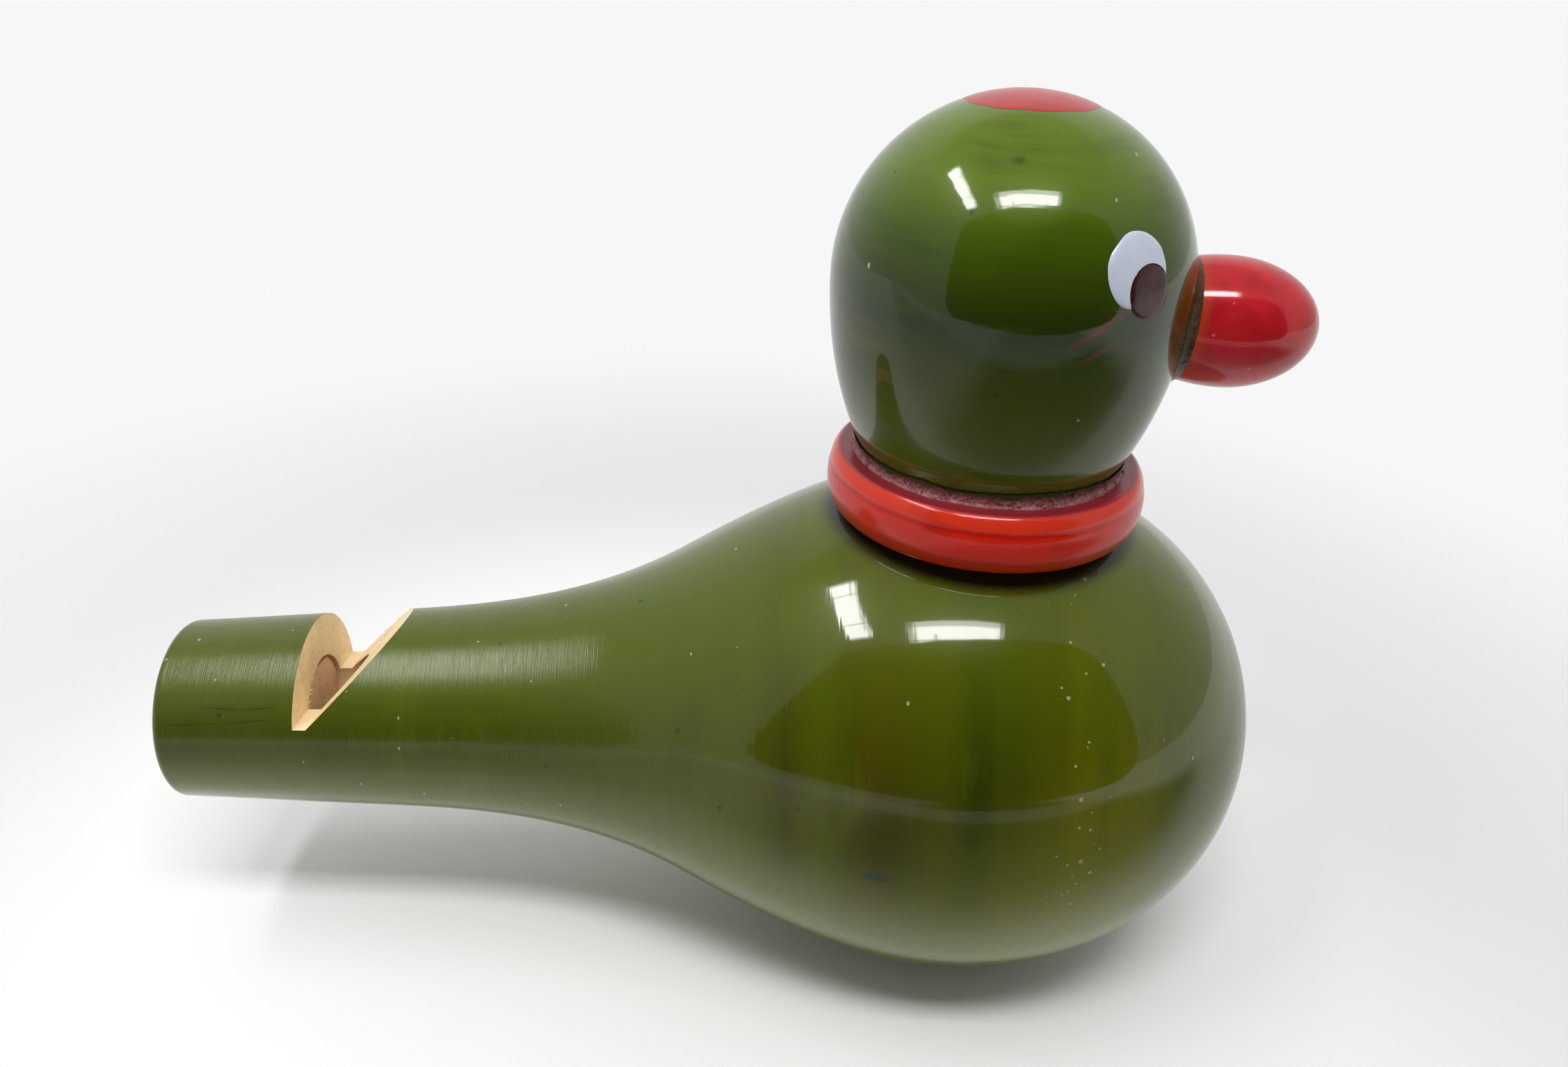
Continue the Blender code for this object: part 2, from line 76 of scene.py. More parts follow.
class Coat(Enum):
    """What a face of a turned and cut piece is covered with."""

    LACQUER = 0
    BARE = 1


class Grain(Enum):
    """Which way a piece turned on the lathe, so which way its rings run."""

    ALONG_X = 0
    UPRIGHT = 2


# --------------------------------------------------------------------------
# Finishes
# --------------------------------------------------------------------------


class Nodes:
    """A node tree, put together a step at a time."""

    def __init__(self, tree: bpy.types.NodeTree, place: str) -> None:
        """Take up a tree.

        Args:
            tree: The tree.
            place: The texture coordinate that patterns are read at.
        """
        self.tree = tree
        self.place = self.node("TexCoord", {}, place)

    def node(
        self, kind: str, inputs: dict[str | int, Source], output: str | int, **settings: str
    ) -> Socket:
        """Add a node to the tree.

        Args:
            kind: Blender's name for its type, without ShaderNode.
            inputs: What its inputs take, by name or number.
            output: The output that is wanted, by name or number.
            **settings: The node's own settings.

        Returns:
            The output's socket.
        """
        node = self.tree.nodes.new("ShaderNode" + kind)
        for key, setting in settings.items():
            setattr(node, key, setting)
        for key, source in inputs.items():
            self.feed(node.inputs[key], source)
        return node.outputs[output]

    def feed(self, target: Socket, source: Source) -> None:
        """Link a socket to another, or give it a plain value.

        Args:
            target: The socket that takes the value.
            source: A socket, a number or a colour.
        """
        if isinstance(source, bpy.types.NodeSocket):
            self.tree.links.new(source, target)
        elif isinstance(source, (int, float)):
            target.default_value = source
        else:
            size = len(target.default_value)
            target.default_value = tuple(source) + (1.0,) * (size - len(source))

    def calc(self, operation: str, *values: Socket | float) -> Socket:
        """Do a sum.

        Args:
            operation: The name of Blender's math operation.
            *values: Numbers or sockets.

        Returns:
            The answer's socket.
        """
        return self.node("Math", dict(enumerate(values)), "Value", operation=operation)

    def add(self, *values: Socket | float) -> Socket:
        """Add up several values.

        Args:
            *values: Numbers or sockets, two at least.

        Returns:
            Their sum.
        """
        total = values[0]
        for value in values[1:]:
            total = self.calc("ADD", total, value)
        return total

    def times(self, first: Socket | float, second: Socket | float) -> Socket:
        """Multiply two values."""
        return self.calc("MULTIPLY", first, second)

    def other(self, share: Socket) -> Socket:
        """Give what a share leaves over."""
        return self.calc("SUBTRACT", 1.0, share)

    def centred(self, share: Socket) -> Socket:
        """Shift a share so that a half of it becomes nought."""
        return self.calc("SUBTRACT", share, 0.5)

    def either(self, first: Socket, second: Socket) -> Socket:
        """Give the larger of two values."""
        return self.calc("MAXIMUM", first, second)

    def split(self, vector: Socket) -> tuple[Socket, Socket, Socket]:
        """Part a vector.

        Args:
            vector: The vector's socket.

        Returns:
            Its x, y and z sockets.
        """
        x = self.node("SeparateXYZ", {"Vector": vector}, "X")
        return x, x.node.outputs["Y"], x.node.outputs["Z"]

    def length(self, vector: Socket) -> Socket:
        """Measure a vector."""
        return self.node("VectorMath", {0: vector}, "Value", operation="LENGTH")

    def upward(self) -> Socket:
        """Give how far the surface faces up, from -1 to 1."""
        return self.split(self.node("NewGeometry", {}, "Normal"))[2]

    def stretch(
        self, scale: Sequence[float], shift: Sequence[float] = (0.0, 0.0, 0.0)
    ) -> Socket:
        """Scale and shift the place on the object, to stretch a pattern.

        Args:
            scale: The scale along each axis.
            shift: The shift along each axis, in metres.

        Returns:
            The changed place.
        """
        values = {"Vector": self.place, "Location": shift, "Scale": scale}
        return self.node("Mapping", values, "Vector")

    def inside(self, centre: Point, reach: Point, turn: Point, edge: float) -> Socket:
        """Mask an ellipsoid.

        Args:
            centre: Its middle, in metres.
            reach: Its half sizes, in metres.
            turn: Its turn about X, Y and Z, in radians.
            edge: The share of its reach up to which the mask is full.

        Returns:
            1 inside, easing to 0 at its surface.
        """
        values = {"Vector": self.place, "Location": centre, "Rotation": turn, "Scale": reach}
        away = self.length(self.node("Mapping", values, "Vector", vector_type="TEXTURE"))
        return self.window(away, edge, 1.0, top=0.0, base=1.0)

    def cloud(
        self, vector: Socket, scale: float, detail: float = 3.0, rough: float = 0.5
    ) -> Socket:
        """Make a noise pattern.

        Args:
            vector: The place it is read at.
            scale: How many lumps it has to a metre.
            detail: How many finer layers it has.
            rough: How strong the finer layers are.

        Returns:
            A value from 0 to 1, mostly near a half.
        """
        values = {"Vector": vector, "Scale": scale, "Detail": detail, "Roughness": rough}
        return self.node("TexNoise", values, "Fac")

    def window(
        self, value: Socket, low: float, high: float, top: float = 1.0, base: float = 0.0
    ) -> Socket:
        """Ease a value from one level to another across a range.

        Args:
            value: The socket to read.
            low: Where it leaves the base level.
            high: Where it reaches the top level.
            top: The level past high.
            base: The level before low.

        Returns:
            The eased value.
        """
        ends = {"From Min": low, "From Max": high, "To Min": base, "To Max": top}
        smooth = "SMOOTHSTEP"
        return self.node("MapRange", {"Value": value, **ends}, "Result", interpolation_type=smooth)

    def level(self, value: Socket, low: float, high: float) -> Socket:
        """Give how far a value is from a low to a high, from 0 to 1.

        Args:
            value: The socket to read.
            low: The value that gives 0.
            high: The value that gives 1.

        Returns:
            The share.
        """
        values = {"Value": value, "From Min": low, "From Max": high}
        return self.node("MapRange", values, "Result")

    def blend(self, share: Socket, first: Socket | float, second: Socket | float) -> Socket:
        """Mix two values.

        Args:
            share: How much of the second there is.
            first: A number or its socket.
            second: A number or its socket.

        Returns:
            The mixed value.
        """
        return self.node("Mix", {0: share, 2: first, 3: second}, 0, data_type="FLOAT")

    def mix(self, share: Source, first: Source, second: Source, mode: str = "MIX") -> Socket:
        """Mix two colours.

        Args:
            share: How much of the second there is.
            first: A colour or its socket.
            second: A colour or its socket.
            mode: The name of Blender's blend mode.

        Returns:
            The mixed colour.
        """
        values = {0: share, 6: first, 7: second}
        return self.node("Mix", values, 2, data_type="RGBA", blend_type=mode)

    def ramp(self, value: Socket, stops: Sequence[tuple[float, Colour]]) -> Socket:
        """Turn a value into a colour along a row of stops.

        Args:
            value: The value to read.
            stops: Places from 0 to 1, each with its colour.

        Returns:
            The colour.
        """
        colour_out = self.node("ValToRGB", {"Fac": value}, "Color")
        row = colour_out.node.color_ramp.elements
        while len(row) < len(stops):
            row.new(0.5)
        for stop, (place, colour) in zip(row, stops):
            stop.position = place
            stop.color = (*colour, 1.0)
        return colour_out

    def specks(
        self, scale: float, radius: float, share: float, squeeze: Point = (1.0, 1.0, 1.0)
    ) -> Socket:
        """Scatter small round specks.

        Args:
            scale: How many cells there are to a metre.
            radius: A speck's radius, as a share of a cell.
            share: How many cells hold one, from 0 to 1.
            squeeze: The scale along each axis, to draw the specks out.

        Returns:
            1 in a speck and 0 elsewhere.
        """
        values = {"Vector": self.stretch(squeeze), "Scale": scale}
        away = self.node("TexVoronoi", values, "Distance")
        lot = self.node("SeparateColor", {"Color": away.node.outputs["Color"]}, "Red")
        size = self.times(lot.node.outputs["Green"], radius)
        return self.times(self.calc("LESS_THAN", lot, share), self.calc("LESS_THAN", away, size))


class Recipe(Nodes):
    """A material's nodes, about one Principled shader."""

    def __init__(self, name: str) -> None:
        """Start a material.

        Args:
            name: The material's name.
        """
        self.material = bpy.data.materials.new(name)
        self.material.use_nodes = True
        super().__init__(self.material.node_tree, "Object")
        self.shader = self.tree.nodes["Principled BSDF"]

    def set(self, **values: float | Colour) -> None:
        """Set sockets of the shader that are the same all over.

        Args:
            **values: Socket names, with _ for a space, and their values.
        """
        for key, value in values.items():
            self.feed(self.shader.inputs[key.replace("_", " ")], value)

    def to(self, name: str, source: Socket) -> None:
        """Link a source to one of the shader's sockets, by the socket's name."""
        self.feed(self.shader.inputs[name], source)

    def surface(self, shader: Socket) -> None:
        """Make a shader the material's surface."""
        self.feed(self.tree.nodes["Material Output"].inputs["Surface"], shader)

    def glow(self, strength: Socket | float, colour: Source = WHITE) -> Socket:
        """Make a shader that gives light."""
        return self.node("Emission", {"Color": colour, "Strength": strength}, "Emission")

    def raise_by(self, height: Socket, distance: float) -> None:
        """Shape the surface's shading by a height.

        Args:
            height: The height, from 0 to 1.
            distance: What a height of 1 stands for, in metres.
        """
        values = {"Height": height, "Distance": distance, "Strength": 1.0}
        self.to("Normal", self.node("Bump", values, "Normal"))


@dataclass(frozen=True)
class Mark:
    """A stain, scratch, smear, paler patch or painted shade at one place on the lacquer."""

    centre: Point
    reach: Point
    colour: Colour
    turn: Point = (0.0, 0.0, 0.0)
    share: float = 0.9
    edge: float = 0.5


def tilt(pitch: float, yaw: float) -> Point:
    """Give the turn of a mark that climbs by a pitch and swings by a yaw, in degrees."""
    return (0.0, math.radians(pitch), math.radians(yaw))


@dataclass(frozen=True)
class GreenLacquer:
    """Transparent green lacquer over turned wood, with lathe bands, dust and painted light."""

    name: str
    grain: Grain
    span: tuple[float, float]
    bands: Bands
    deep: Colour = (0.030, 0.044, 0.0011)
    pale: Colour = (0.098, 0.110, 0.0030)
    dust: Colour = (0.36, 0.39, 0.28)
    dust_share: float = 0.045
    bubble_ring: tuple[float, float] = (0.0042, 0.0096)
    bubble_ring_edge: float = 0.0003
    band_drift: float = 0.0016
    brushed: tuple[float, float] = (-0.030, -0.042)
    brush_height: float = 2.8
    marks: tuple[Mark, ...] = ()
    # Painted light: a paler green where the lacquer faces up, and another where it faces down to
    # the floor.
    painted_top_light: Colour = (0.084, 0.110, 0.0020)
    painted_top_share: float = 0.62
    painted_under_light: Colour = (0.126, 0.150, 0.0018)
    painted_under_share: float = 0.74
    gloss: float = 0.050
    relief: float = 0.00001

    def rings(self, recipe: Recipe, scale: float, across: float = 0.07) -> Socket:
        """Make a pattern that runs round the piece as the lathe turned it.

        Args:
            recipe: The material being made.
            scale: How many rings there are to a metre.
            across: The scale round the ring, as a share of that along the piece.

        Returns:
            A value from 0 to 1.
        """
        scales = [1.0 if part == self.grain.value else across for part in range(3)]
        return recipe.cloud(recipe.stretch(scales), scale, detail=2.0, rough=0.6)

    def tint(self, recipe: Recipe, along: Socket, soft: Socket) -> Socket:
        """Colour the lathe bands, each of its own tone and none quite even.

        Args:
            recipe: The material being made.
            along: The place along the piece, in metres.
            soft: A slow pattern.

        Returns:
            The colour.
        """
        low, high = self.span
        broad, fine = self.rings(recipe, 330.0, across=0.2), self.rings(recipe, 1700.0)
        drift = recipe.times(recipe.centred(soft), self.band_drift)
        place = recipe.level(recipe.add(along, drift), low, high)
        colour = recipe.ramp(place, [((at - low) / (high - low), tone) for at, tone in self.bands])
        streaks = recipe.add(recipe.times(broad, 0.7), recipe.times(fine, 0.28))
        depth = recipe.add(streaks, recipe.times(soft, 0.6), -0.285)
        colour = recipe.mix(recipe.window(depth, 0.50, 0.30, top=0.35), colour, self.deep)
        return recipe.mix(recipe.window(depth, 0.54, 0.76, top=0.35), colour, self.pale)

    def paint_facing_light(self, recipe: Recipe, colour: Socket, upward: Socket) -> Socket:
        """Paint light on the lacquer: paler where it faces up to the lamps, and paler where it
        faces down to the white floor.

        Args:
            recipe: The material being made.
            colour: The colour so far.
            upward: How far the surface faces up.

        Returns:
            The colour.
        """
        upper = recipe.window(upward, 0.25, 0.85, top=self.painted_top_share)
        colour = recipe.mix(upper, colour, self.painted_top_light)
        under = recipe.window(upward, 0.32, -0.60, top=self.painted_under_share)
        return recipe.mix(under, colour, self.painted_under_light)

    def grit(self, recipe: Recipe, along: Socket, neck: Socket) -> Socket:
        """Scatter dust motes, a ring of trapped bubbles and lint on the neck.

        Args:
            recipe: The material being made.
            along: The place along the piece, in metres.
            neck: How far the place is up the brushed neck.

        Returns:
            1 in a mote, a bubble or a thread of lint, and 0 elsewhere.
        """
        low, high = self.bubble_ring
        past_low = recipe.window(along, low, low + self.bubble_ring_edge)
        before_high = recipe.window(along, high, high - self.bubble_ring_edge)
        ring = recipe.times(past_low, before_high)
        motes = recipe.specks(1150.0, 0.19, self.dust_share, squeeze=(1.0, 0.8, 0.6))
        bubbles = recipe.specks(scale=1700.0, radius=0.38, share=0.17)
        lint = recipe.specks(scale=900.0, radius=0.15, share=0.10, squeeze=(0.9, 1.0, 0.35))
        loose = recipe.either(motes, recipe.times(bubbles, ring))
        return recipe.either(loose, recipe.times(lint, neck))

    def make(self) -> bpy.types.Material:
        """Build the material.

        Returns:
            The material.
        """
        recipe = Recipe(self.name)
        along = recipe.split(recipe.place)[self.grain.value]
        soft = recipe.cloud(recipe.place, 85.0, detail=2.0)
        upward = recipe.upward()
        neck = recipe.window(along, *self.brushed)
        pits = recipe.specks(scale=1000.0, radius=0.30, share=0.012)
        grit = self.grit(recipe, along, neck)
        # Painted light, by which way the surface faces.
        colour = self.paint_facing_light(recipe, self.tint(recipe, along, soft), upward)
        colour = recipe.mix(recipe.times(pits, 0.85), colour, self.deep)
        colour = recipe.mix(recipe.times(grit, 0.72), colour, self.dust)
        for mark in self.marks:
            mask = recipe.inside(mark.centre, mark.reach, mark.turn, mark.edge)
            colour = recipe.mix(recipe.times(mask, mark.share), colour, mark.colour)
        recipe.to("Base Color", colour)
        haze = recipe.times(recipe.window(soft, 0.4, 0.7), 0.02)
        dull = recipe.times(neck, recipe.window(upward, 0.20, 0.55, base=0.02, top=0.22))
        recipe.to("Roughness", recipe.add(self.gloss, haze, recipe.times(grit, 0.3), dull))
        recipe.set(IOR=1.48, Metallic=0.0, Coat_Weight=0.2, Coat_Roughness=0.3, Coat_IOR=1.48)
        fine = recipe.times(self.rings(recipe, 1500.0), 0.6)
        brush = self.rings(recipe, 9000.0, across=0.015)
        brush = recipe.times(brush, recipe.times(neck, self.brush_height))
        dents = recipe.times(pits, -0.8)
        recipe.raise_by(recipe.add(fine, recipe.times(grit, 1.0), dents, brush), self.relief)
        return recipe.material


@dataclass(frozen=True)
class RedRing:
    """Red lacquer on the collar: orange shoulder, deep band, a line of painted shade, purple inner
    top.
    """

    name: str
    axis_x: float
    low: float
    high: float
    inner_r: float
    shoulder: Colour = (0.57, 0.030, 0.011)
    band: Colour = (0.50, 0.016, 0.006)
    # Painted shade and painted reflection: the dark line in the shallow groove under the shoulder.
    line: Colour = (0.40, 0.008, 0.003)
    heel: Colour = (0.38, 0.016, 0.004)
    # Partly a painted reflection of the green head in the red gloss, partly a film of glue.
    purple: Colour = (0.20, 0.014, 0.022)
    stain: Colour = (0.20, 0.006, 0.003)
    drift: float = 0.0005
    relief: float = 0.000010

    def bands(self) -> list[tuple[float, Colour]]:
        """List the ring's bands, from its foot to its top.

        Returns:
            Each edge's share of the height, with its colour.
        """
        return [
            (0.00, self.heel),
            (0.27, self.heel),
            (0.34, self.band),
            (0.67, self.band),
            # The line of painted shade in the groove.
            (0.71, self.line),
            (0.75, self.line),
            (0.79, self.shoulder),
            (1.00, self.shoulder),
        ]

    def make(self) -> bpy.types.Material:
        """Build the material.

        Returns:
            The material.
        """
        recipe = Recipe(self.name)
        x, y, z = recipe.split(recipe.place)
        across = recipe.calc("SUBTRACT", x, self.axis_x)
        radius = recipe.add(recipe.times(across, across), recipe.times(y, y))
        radius = recipe.calc("SQRT", radius)
        wave = recipe.cloud(recipe.place, 220.0, detail=3.0)
        drift = recipe.times(recipe.centred(wave), self.drift)
        level = recipe.level(recipe.add(z, drift), self.low, self.high)
        colour = recipe.ramp(level, self.bands())
        wavy_r = recipe.add(radius, recipe.times(drift, 0.3))
        outside = recipe.window(wavy_r, self.inner_r - 0.0002, self.inner_r + 0.0003)
        on_top = recipe.window(z, self.high - 0.0012, self.high - 0.0006)
        colour = recipe.mix(recipe.times(recipe.other(outside), on_top), colour, self.purple)
        blots = recipe.cloud(recipe.stretch((1.0, 1.0, 2.2)), 170.0, detail=2.0)
        colour = recipe.mix(recipe.window(blots, 0.58, 0.72, top=0.3), colour, self.stain)
        recipe.to("Base Color", colour)
        fine = recipe.cloud(recipe.stretch((0.1, 0.1, 1.0)), 3200.0, detail=2.0)
        recipe.to("Roughness", recipe.add(0.13, recipe.times(wave, 0.10)))
        recipe.raise_by(recipe.add(fine, recipe.times(wave, 0.3)), self.relief)
        recipe.set(IOR=1.48, Metallic=0.0)
        return recipe.material


@dataclass(frozen=True)
class RedLacquer:
    """Crimson lacquer on the beak, with an orange band where it meets the head, and painted light
    underneath.
    """

    name: str
    foot: Point
    out: Point
    main: Colour = (0.46, 0.012, 0.019)
    deep: Colour = (0.35, 0.008, 0.012)
    base: Colour = (0.50, 0.042, 0.012)
    base_reach: tuple[float, float] = (0.0006, 0.0014)
    # Painted light: a pale pink where the beak faces down, for the white floor's light and
    # reflection.
    painted_under_light: Colour = (0.62, 0.068, 0.080)
    fleck: Colour = (0.62, 0.16, 0.14)
    relief: float = 0.000014

    def make(self) -> bpy.types.Material:
        """Build the material.

        Returns:
            The material.
        """
        recipe = Recipe(self.name)
        values = {0: recipe.place, 1: self.foot}
        away = recipe.node("VectorMath", values, "Vector", operation="SUBTRACT")
        values = {0: away, 1: self.out}
        reach = recipe.node("VectorMath", values, "Value", operation="DOT_PRODUCT")
        wave = recipe.cloud(recipe.place, 300.0, detail=3.0)
        colour = recipe.mix(recipe.window(wave, 0.35, 0.65), self.deep, self.main)
        wavy_reach = recipe.add(reach, recipe.times(wave, 0.0004))
        band = recipe.window(wavy_reach, *self.base_reach, top=0.0, base=0.8)
        colour = recipe.mix(band, colour, self.base)
        # Painted light on the beak's underside.
        under = recipe.window(recipe.upward(), -0.05, -0.80, top=0.75)
        colour = recipe.mix(under, colour, self.painted_under_light)
        flecks = recipe.specks(scale=1300.0, radius=0.24, share=0.16)
        colour = recipe.mix(recipe.times(flecks, 0.7), colour, self.fleck)
        recipe.to("Base Color", colour)
        recipe.to("Roughness", recipe.add(0.045, recipe.times(wave, 0.04)))
        recipe.raise_by(recipe.add(wave, recipe.times(flecks, 1.5)), self.relief)
        recipe.set(IOR=1.48, Metallic=0.0, Coat_Weight=0.25, Coat_Roughness=0.3, Coat_IOR=1.48)
        return recipe.material


@dataclass(frozen=True)
class SpotLacquer:
    """The thin pinkish red lacquer of the crown spot."""

    name: str
    main: Colour = (0.35, 0.036, 0.038)
    worn: Colour = (0.38, 0.055, 0.050)
    relief: float = 0.00002

    def make(self) -> bpy.types.Material:
        """Build the material.

        Returns:
            The material.
        """
        recipe = Recipe(self.name)
        wave = recipe.cloud(recipe.place, 420.0, detail=4.0)
        colour = recipe.mix(recipe.window(wave, 0.45, 0.75), self.main, self.worn)
        recipe.to("Base Color", colour)
        recipe.to("Roughness", recipe.add(0.16, recipe.times(wave, 0.12)))
        recipe.raise_by(wave, self.relief)
        recipe.set(IOR=1.37, Metallic=0.0)
        return recipe.material


@dataclass(frozen=True)
class BareWood:
    """Pale close-grained wood where a tool has cut it, its fibres along X."""

    name: str
    pale: Colour = (0.86, 0.68, 0.41)
    dark: Colour = (0.72, 0.53, 0.29)
    pore: Colour = (0.42, 0.28, 0.15)
    relief: float = 0.00003

    def make(self) -> bpy.types.Material:
        """Build the material.

        Returns:
            The material.
        """
        recipe = Recipe(self.name)
        fibre = recipe.cloud(recipe.stretch((0.12, 1.0, 1.0)), 1800.0, detail=4.0, rough=0.6)
        broad = recipe.cloud(recipe.stretch((0.3, 1.0, 1.0)), 260.0, detail=2.0)
        tone = recipe.add(recipe.times(fibre, 0.6), recipe.times(broad, 0.7), -0.15)
        colour = recipe.ramp(tone, [(0.30, self.dark), (0.56, self.pale)])
        pores = recipe.specks(scale=3400.0, radius=0.30, share=0.20, squeeze=(0.25, 1.0, 1.0))
        colour = recipe.mix(recipe.times(pores, 0.5), colour, self.pore)
        recipe.to("Base Color", colour)
        recipe.to("Roughness", recipe.add(0.55, recipe.times(fibre, 0.25)))
        recipe.raise_by(recipe.add(fibre, recipe.times(pores, -1.0)), self.relief)
        recipe.set(IOR=1.45, Metallic=0.0)
        return recipe.material


@dataclass(frozen=True)
class DriedGlue:
    """Dried hot glue, cloudy and uneven, that has picked up colour and dust."""

    name: str
    deep: Colour
    milky: Colour
    shine: float = 0.22
    rim: float = 1.0
    rim_soft: float = 0.0006
    rim_drift: float = 0.0022
    rim_tone: Colour = (0.030, 0.034, 0.008)
    relief: float = 0.00006

    def make(self) -> bpy.types.Material:
        """Build the material.

        Returns:
            The material.
        """
        recipe = Recipe(self.name)
        lump = recipe.cloud(recipe.place, 900.0, detail=4.0, rough=0.65)
        frost = recipe.cloud(recipe.place, 3600.0, detail=3.0, rough=0.6)
        tone = recipe.add(recipe.times(lump, 0.6), recipe.times(frost, 0.5), -0.05)
        colour = recipe.ramp(tone, [(0.38, self.deep), (0.66, self.milky)])
        drift = recipe.times(recipe.centred(lump), self.rim_drift)
        z = recipe.add(recipe.split(recipe.place)[2], drift)
        at_rim = recipe.window(z, self.rim, self.rim + self.rim_soft)
        recipe.to("Base Color", recipe.mix(at_rim, colour, self.rim_tone))
        recipe.to("Roughness", recipe.add(self.shine, recipe.times(frost, 0.3)))
        recipe.raise_by(recipe.add(lump, frost), self.relief)
        recipe.set(IOR=1.38, Metallic=0.0)
        return recipe.material


@dataclass(frozen=True)
class Enamel:
    """A drop of enamel paint with faint brush marks."""

    name: str
    main: Colour
    thin: Colour
    gloss: float = 0.18
    relief: float = 0.00002

    def make(self) -> bpy.types.Material:
        """Build the material.

        Returns:
            The material.
        """
        recipe = Recipe(self.name)
        wave = recipe.cloud(recipe.stretch((1.0, 1.0, 0.5)), 900.0, detail=3.0)
        colour = recipe.mix(recipe.window(wave, 0.45, 0.75), self.main, self.thin)
        recipe.to("Base Color", colour)
        recipe.to("Roughness", recipe.add(self.gloss, recipe.times(wave, 0.10)))
        recipe.raise_by(wave, self.relief)
        recipe.set(IOR=1.48, Metallic=0.0)
        return recipe.material


# --------------------------------------------------------------------------
# Turning, cutting and dressing
# --------------------------------------------------------------------------


def quarter(count: int) -> list[float]:
    """Give evenly spaced angles from none to a right angle, in radians."""
    return [math.pi / 2 * i / count for i in range(count + 1)]


def frame_on(point: Vector, way: Vector) -> Matrix:
    """Give the frame at a point whose Z runs along a direction."""
    return Matrix.Translation(point) @ way.to_track_quat("Z", "Y").to_matrix().to_4x4()


def turn_mesh(
    profile: Profile, steps: int, closed: bool, coats: Sequence[Coat] | None = None
) -> bmesh.types.BMesh:
    """Turn a profile of (radius, height) points about Z.

    Args:
        profile: The points, down the outer side. A closed profile is a ring's
            section, and an open one starts and ends on the axis.
        steps: How many facets go round.
        closed: Whether the last point joins the first.
        coats: The coat of the strip that follows each point.

    Returns:
        The mesh, its faces looking outwards.
    """
    work = bmesh.new()
    rows = []
    angles = [math.tau * i / steps for i in range(steps)]
    for r, z in profile:
        if r <= 0.0:
            rows.append([work.verts.new((0.0, 0.0, z))])
        else:
            rows.append([work.verts.new((r * math.cos(a), r * math.sin(a), z)) for a in angles])
    count = len(rows) if closed else len(rows) - 1
    for k in range(count):
        upper, lower = rows[k], rows[(k + 1) % len(rows)]
        for i in range(steps):
            j = (i + 1) % steps
            left = [upper[i % len(upper)], lower[i % len(lower)]]
            right = [lower[j % len(lower)], upper[j % len(upper)]]
            face = work.faces.new(list(dict.fromkeys(left + right)))
            face.smooth = True
            if coats:
                face.material_index = coats[k].value
    bmesh.ops.recalc_face_normals(work, faces=work.faces)
    return work


def join_sections(
    work: bmesh.types.BMesh, sections: Sequence[Sequence[bmesh.types.BMVert]]
) -> None:
    """Skin a bead whose sections follow each other round a closed ring.

    Args:
        work: The mesh being made.
        sections: The corners of each section, all in the same order.
    """
    for i, this in enumerate(sections):
        after = sections[(i + 1) % len(sections)]
        for j in range(len(this)):
            k = (j + 1) % len(this)
            work.faces.new([this[j], after[j], after[k], this[k]])
    bmesh.ops.recalc_face_normals(work, faces=work.faces)


def to_piece(name: str, work: bmesh.types.BMesh, place: Matrix | None = None) -> bpy.types.Object:
    """Turn finished mesh work into an object, with its place in its mesh.

    Args:
        name: The object's name.
        work: The mesh work, which is used up.
        place: Where the mesh goes.

    Returns:
        The object.
    """
    mesh = bpy.data.meshes.new(name)
    work.to_mesh(mesh)
    work.free()
    if place is not None:
        mesh.transform(place)
    thing = bpy.data.objects.new(name, mesh)
    bpy.context.scene.collection.objects.link(thing)
    return thing


def drum(
    radius: float, low: float, high: float, place: Matrix, steps: int = 96
) -> bpy.types.Object:
    """Make a round cutter about its own Z.

    Args:
        radius: Its radius.
        low: The height of its foot.
        high: The height of its top.
        place: Where it goes.
        steps: How many facets go round.

    Returns:
        The cutter.
    """
    profile = [(0.0, high), (radius, high), (radius, low), (0.0, low)]
    return to_piece("cutter", turn_mesh(profile, steps, closed=False), place)


def prism(outline: Profile, half: float, place: Matrix) -> bpy.types.Object:
    """Make a cutter from a flat outline in XY, as thick as wanted along Z.

    Args:
        outline: The corners, anticlockwise.
        half: Half the thickness.
        place: Where it goes.

    Returns:
        The cutter.
    """
    work = bmesh.new()
    low = [work.verts.new((x, y, -half)) for x, y in outline]
    high = [work.verts.new((x, y, half)) for x, y in outline]
    work.faces.new(low[::-1])
    work.faces.new(high)
    for i in range(len(low)):
        j = (i + 1) % len(low)
        work.faces.new([low[i], low[j], high[j], high[i]])
    bmesh.ops.recalc_face_normals(work, faces=work.faces)
    return to_piece("cutter", work, place)


def carve(target: bpy.types.Object, cutters: Sequence[tuple[bpy.types.Object, Coat]]) -> None:
    """Take cutters out of a piece and remove them.

    Args:
        target: The piece.
        cutters: Each cutter, with the coat that its cut leaves.
    """
    for piece in (target, *(cutter for cutter, _ in cutters)):
        while len(piece.data.materials) < len(Coat):
            piece.data.materials.append(None)
    for cutter, coat in cutters:
        for face in cutter.data.polygons:
            face.material_index = coat.value
        step = target.modifiers.new("Cut", "BOOLEAN")
        step.operation = "DIFFERENCE"
        step.solver = "EXACT"
        step.material_mode = "INDEX"
        step.object = cutter
    bpy.context.view_layer.update()
    graph = bpy.context.evaluated_depsgraph_get()
    mesh = bpy.data.meshes.new_from_object(target.evaluated_get(graph))
    target.modifiers.clear()
    target.data = mesh
    for cutter, _ in cutters:
        bpy.data.objects.remove(cutter, do_unlink=True)


def shade(piece: bpy.types.Object, edge_deg: float = 30.0) -> None:
    """Shade a piece smooth up to its edges.

    Args:
        piece: The piece.
        edge_deg: The turn between faces that makes an edge, in degrees.
    """
    piece.data.shade_smooth()
    piece.data.set_sharp_from_angle(angle=math.radians(edge_deg))


